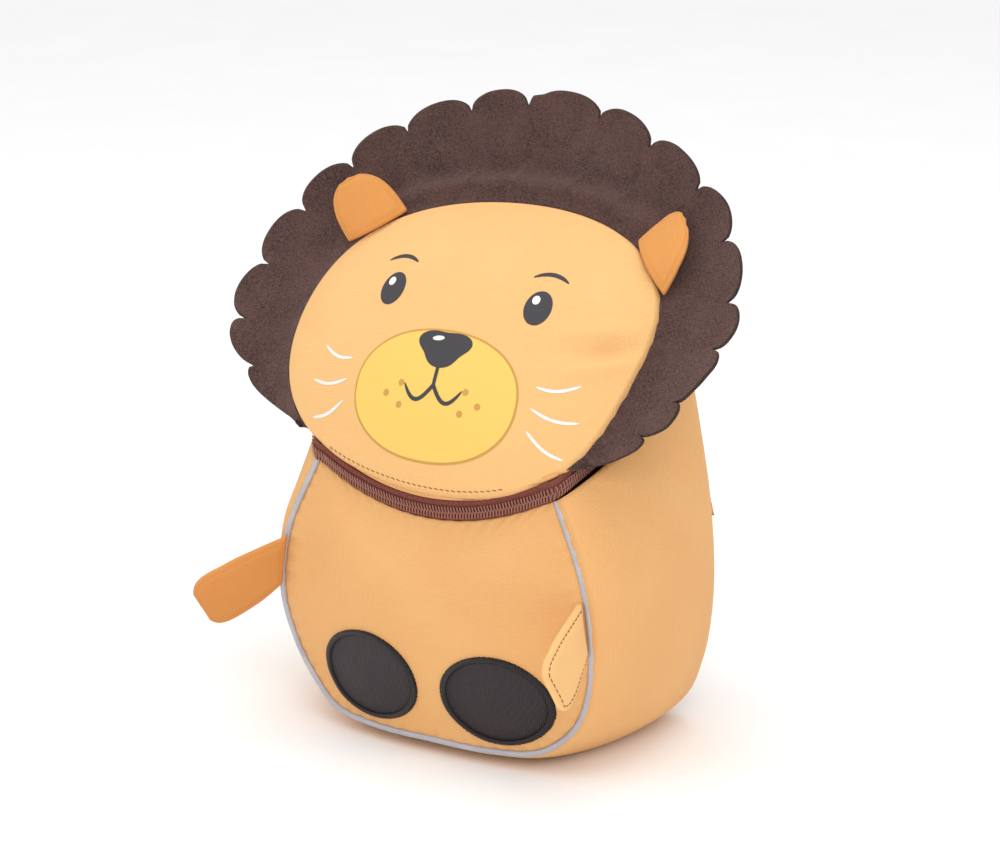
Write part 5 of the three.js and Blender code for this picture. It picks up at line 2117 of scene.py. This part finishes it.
@dataclass
class ShoulderStrap:
    """A padded strap, its webbing and the adjuster between them."""

    form: PouchForm
    wardrobe: Wardrobe
    side: Side
    width: float = 34
    thickness: float = 6
    bow: float = 40
    top_spread: float = 54
    foot_spread: float = 76
    top_height: float = 168
    foot_height: float = 30
    web_width: float = 20
    web_thickness: float = 1.6
    # shares of the drop at which the pad ends, the webbing starts and the adjuster ends
    pad_end: float = 0.42 + 0.08
    web_start: float = 0.42 + 0.1
    adjuster_end: float = 0.42 + 0.17

    def build(self) -> None:
        """Makes and dresses the strap's pieces."""
        tag = self.side.name.lower()
        shares = (0, 0.07, 0.15, 0.25, 0.35, self.pad_end)
        pad = Spline(np.array([self.point(s, self.thickness) for s in shares]))
        shares = (self.web_start, self.adjuster_end, 0.68, 0.77, 0.85, 0.91, 1)
        web = Spline(np.array([self.point(s, self.web_lift(s)) for s in shares]))
        pad_line, web_line = pad.line(90), web.line(90)
        piece = strip_object(f"strap_{tag}_padding", pad_line, self.width, self.thickness, 5.0, vec(0, 1, 0.2))
        self.wardrobe.dress(piece, PAD_CLOTH)
        finish_piece(piece, "back_padding", f"strap_{tag}_pad", fill=0.6)
        name = f"strap_{tag}_webbing"
        piece = strip_object(name, web_line, self.web_width, self.web_thickness, 0.6, vec(0, 1, -0.2))
        self.wardrobe.dress(piece, WEBBING)
        finish_piece(piece, "webbing", f"strap_{tag}_web")
        self.edge_stitches(pad_line, tag)
        self.adjuster(pad_line[-1], self.point(self.adjuster_end, self.web_lift(self.adjuster_end)), tag)

    def web_lift(self, share: float) -> float:
        """How far the webbing's outer side lies above the strap's inner line."""
        return self.web_thickness + (1 - share) * (self.thickness - self.web_thickness)

    def point(self, share: float, lift: float) -> Array:
        """The strap's outer middle line at a share of its drop.

        Args:
            share: Share of the drop, 0 at the top.
            lift: How far outside the inner line.

        Returns:
            The point.
        """
        arch = self.bow * math.sin(math.pi * min(1.0, max(0.0, (share - 0.07) / 0.84))) ** 0.8
        x = self.side.value * (self.top_spread + (self.foot_spread - self.top_spread) * share**1.4)
        drop = self.top_height - self.foot_height
        return vec(x, self.form.rear_face + 0.75 + arch + lift, self.top_height - drop * share)

    def edge_stitches(self, line: Array, tag: str) -> None:
        """Thread along both edges of the padding.

        Args:
            line: The padding's middle line.
            tag: The strap's side.
        """
        _, normal, _ = frames_along(line, vec(0, 1, 0.2))
        for k, reach in enumerate((-1, 1)):
            seam = line + vec(1, 0, 0) * reach * (self.width / 2 - 4.2) - normal * 0.12
            piece = stitch_object(f"strap_{tag}_stitches_{k + 1}", seam, normal, pitch=3.4, length=2.4, radius=0.26)
            self.wardrobe.dress(piece, BROWN_THREAD)
            finish_piece(piece, "back_padding")

    def adjuster(self, low: Array, high: Array, tag: str) -> None:
        """A moulded ladder lock: a rounded frame, two cross bars and a lifting lip.

        Args:
            low: The padding's end.
            high: The adjuster's other end.
            tag: The strap's side.
        """
        way = unit((high - low) * vec(0, 1, 1))
        across = vec(1, 0, 0)
        length = float(np.linalg.norm(high - low)) - 3.3
        middle = (low + high) / 2 - vec(0, self.thickness * 0.3, 0)
        half_wide, half_long = self.web_width / 2 + 1.6, length / 2 - 1.3
        turn = np.linspace(0, 2 * np.pi, 72, endpoint=False)
        c, s = np.cos(turn), np.sin(turn)
        reach = (np.abs(c) ** 7 + np.abs(s) ** 7) ** (-1 / 7)
        line = middle + across * (half_wide * c * reach)[:, None] + way * (half_long * s * reach)[:, None]
        outward = unit(np.cross(way, across))
        bars = [cord_object("frame", line, outward, 1.3, 1.6, sides=12, closed=True)]
        for k, place in enumerate((-0.12, 0.42)):
            ends = np.linspace(-half_wide, half_wide, 9)[:, None]
            bar = middle + way * (place * half_long) + across * ends
            bars.append(cord_object(f"bar{k}", bar, outward, 0.9, 1.3, sides=10))
        piece = join_objects(f"strap_{tag}_adjuster", bars)
        self.wardrobe.dress(piece, ADJUSTER)
        finish_piece(piece, "adjuster", f"strap_{tag}_buckle")


def join_objects(name: str, parts: list[bpy.types.Object]) -> bpy.types.Object:
    """Makes one object of several plain mesh objects.

    Args:
        name: The new piece's name.
        parts: The objects, which go.

    Returns:
        The new object.
    """
    points, faces, base = [], [], 0
    for part in parts:
        mesh = part.data
        points += [np.array(v.co) / MM for v in mesh.vertices]
        faces += [[base + i for i in p.vertices] for p in mesh.polygons]
        base += len(mesh.vertices)
        bpy.data.objects.remove(part)
        bpy.data.meshes.remove(mesh)
    return build_object(name, np.array(points), faces)


@dataclass
class CarryLoop:
    """The webbing loop at the top of the back, with its box stitches."""

    form: PouchForm
    wardrobe: Wardrobe
    span: float = 60
    bow: float = 22
    height: float = 152
    width: float = 20
    thickness: float = 1.6

    def build(self) -> None:
        """Makes and dresses the loop."""
        shares = (-1, -0.8, -0.6, -0.3, 0, 0.3, 0.6, 0.8, 1)
        seat = self.form.rear_face + 0.6 + self.thickness
        points = []
        for share in shares:
            rise = max(0.0, 1 - (share / 0.72) ** 2)
            points.append(vec(share * self.span / 2, seat + self.bow * math.sqrt(rise), self.height))
        line = Spline(np.array(points)).line(120)
        piece = strip_object("carry_loop_webbing", line, self.width, self.thickness, 0.6, vec(0, 1, 0), vec(0, 0, 1))
        self.wardrobe.dress(piece, WEBBING)
        finish_piece(piece, "webbing", "carry_loop")
        for k, side in enumerate((-1, 1)):
            x = side * (self.span / 2 - 3.4)
            corners = [vec(x - 2.4, seat, self.height - 7), vec(x + 2.4, seat, self.height - 7)]
            corners += [vec(x + 2.4, seat, self.height + 7), vec(x - 2.4, seat, self.height + 7)]
            box = resample(np.array(corners), 1.0, closed=True) + vec(0, 0.1, 0)
            piece = stitch_object(f"carry_loop_stitches_{k + 1}", box, vec(0, 1, 0), 2.2, 1.6, 0.24, closed=True)
            self.wardrobe.dress(piece, ORANGE_THREAD)
            finish_piece(piece, "webbing")


@dataclass
class Studio:
    """Pale floor, soft boxes and the photograph's camera."""

    wardrobe: Wardrobe
    camera_place: tuple[float, float, float] = (0.75111, -1.23656, 0.57777)
    camera_turn: tuple[float, float, float] = (74.0, 0.0, 31.0)
    lens: float = 104.4

    def build(self) -> None:
        """Sets up floor, world, lights and camera."""
        bpy.context.scene.view_settings.view_transform = "Standard"
        self.camera()
        self.floor()
        self.lights()

    def camera(self) -> None:
        """A long lens at the photograph's angle."""
        data = bpy.data.cameras.new("studio_camera")
        data.lens = self.lens
        data.sensor_width = 36
        eye = bpy.data.objects.new("studio_camera", data)
        eye.location = self.camera_place
        eye.rotation_euler = [math.radians(a) for a in self.camera_turn]
        bpy.context.scene.collection.objects.link(eye)
        bpy.context.scene.camera = eye

    def floor(self) -> None:
        """Seamless white paper, flat under the bag."""
        steps = np.linspace(-6000, 6000, 13)
        grid = np.stack(np.meshgrid(steps, steps, indexing="ij"), -1)
        grid = np.concatenate([grid, np.full(grid.shape[:2] + (1,), -0.05)], -1)
        paper = grid_object("studio_floor", grid, flip=True)
        self.wardrobe.dress(paper, PaintedFloor("studio_paper"))

    def lights(self) -> None:
        """A broad key from the right front, a fill from the left and a bright surround."""
        world = bpy.data.worlds.new("studio_world")
        world.use_nodes = True
        world.node_tree.nodes["Background"].inputs["Color"].default_value = linear("#FFFFFF")
        world.node_tree.nodes["Background"].inputs["Strength"].default_value = 0.7
        bpy.context.scene.world = world
        for name, place, size, power in (
            ("key_box", (1.2, -1.5, 1.5), 1.1, 13.0),
            ("fill_box", (-1.3, -1.4, 1.3), 1.5, 4.5),
            ("top_box", (0.1, 0.1, 2.1), 1.2, 8.0),
        ):
            data = bpy.data.lights.new(name, "AREA")
            data.size = size
            data.energy = power
            lamp = bpy.data.objects.new(name, data)
            lamp.location = place
            aim = Vector((0, 0, 0.14)) - Vector(place)
            lamp.rotation_euler = aim.to_track_quat("-Z", "Y").to_euler()
            bpy.context.scene.collection.objects.link(lamp)
        sky = bpy.data.lights.new("ceiling_wash", "SUN")
        sky.energy = 0.66
        sky.angle = math.radians(60)
        bpy.context.scene.collection.objects.link(bpy.data.objects.new("ceiling_wash", sky))


def main() -> None:
    """Builds the bag piece by piece."""
    logging.basicConfig(level=logging.INFO, format="%(name)s %(message)s")
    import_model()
    wardrobe = Wardrobe()
    Studio(wardrobe).build()
    pouch_form = PouchForm()
    head_form = HeadForm(pouch_form)
    pouch = Pouch(pouch_form, wardrobe)
    pouch.build()
    Piping(pouch_form, wardrobe).build()
    NeckZip(pouch_form, wardrobe).build()
    Head(head_form, wardrobe).build()
    Mane(head_form, wardrobe).build()
    Ear(head_form, wardrobe, Side.RIGHT, rise=(0.6, -0.2, 1.0), place=46, turn=6).build()
    Ear(head_form, wardrobe, Side.LEFT, rise=(0.59, 0.46, 0.99), place=41, turn=-10).build()
    # The right arm wears the copy of the cloth with painted shade, the left arm the copy with painted light.
    Arm(pouch_form, wardrobe, Side.RIGHT, root=0.62, heading=(0.71, 0.59, 0.5), turn=-1, cloth=SHADED_LIMB_CLOTH).build()
    Arm(pouch_form, wardrobe, Side.LEFT, root=0.58, heading=(0.23, 1.08, 0.38), turn=12, cloth=LIT_FACE_CLOTH).build()
    for side in Side:
        Foot(pouch, wardrobe, side).build()
        ShoulderStrap(pouch_form, wardrobe, side).build()
    CarryLoop(pouch_form, wardrobe).build()


if __name__ == "__main__":
    main()
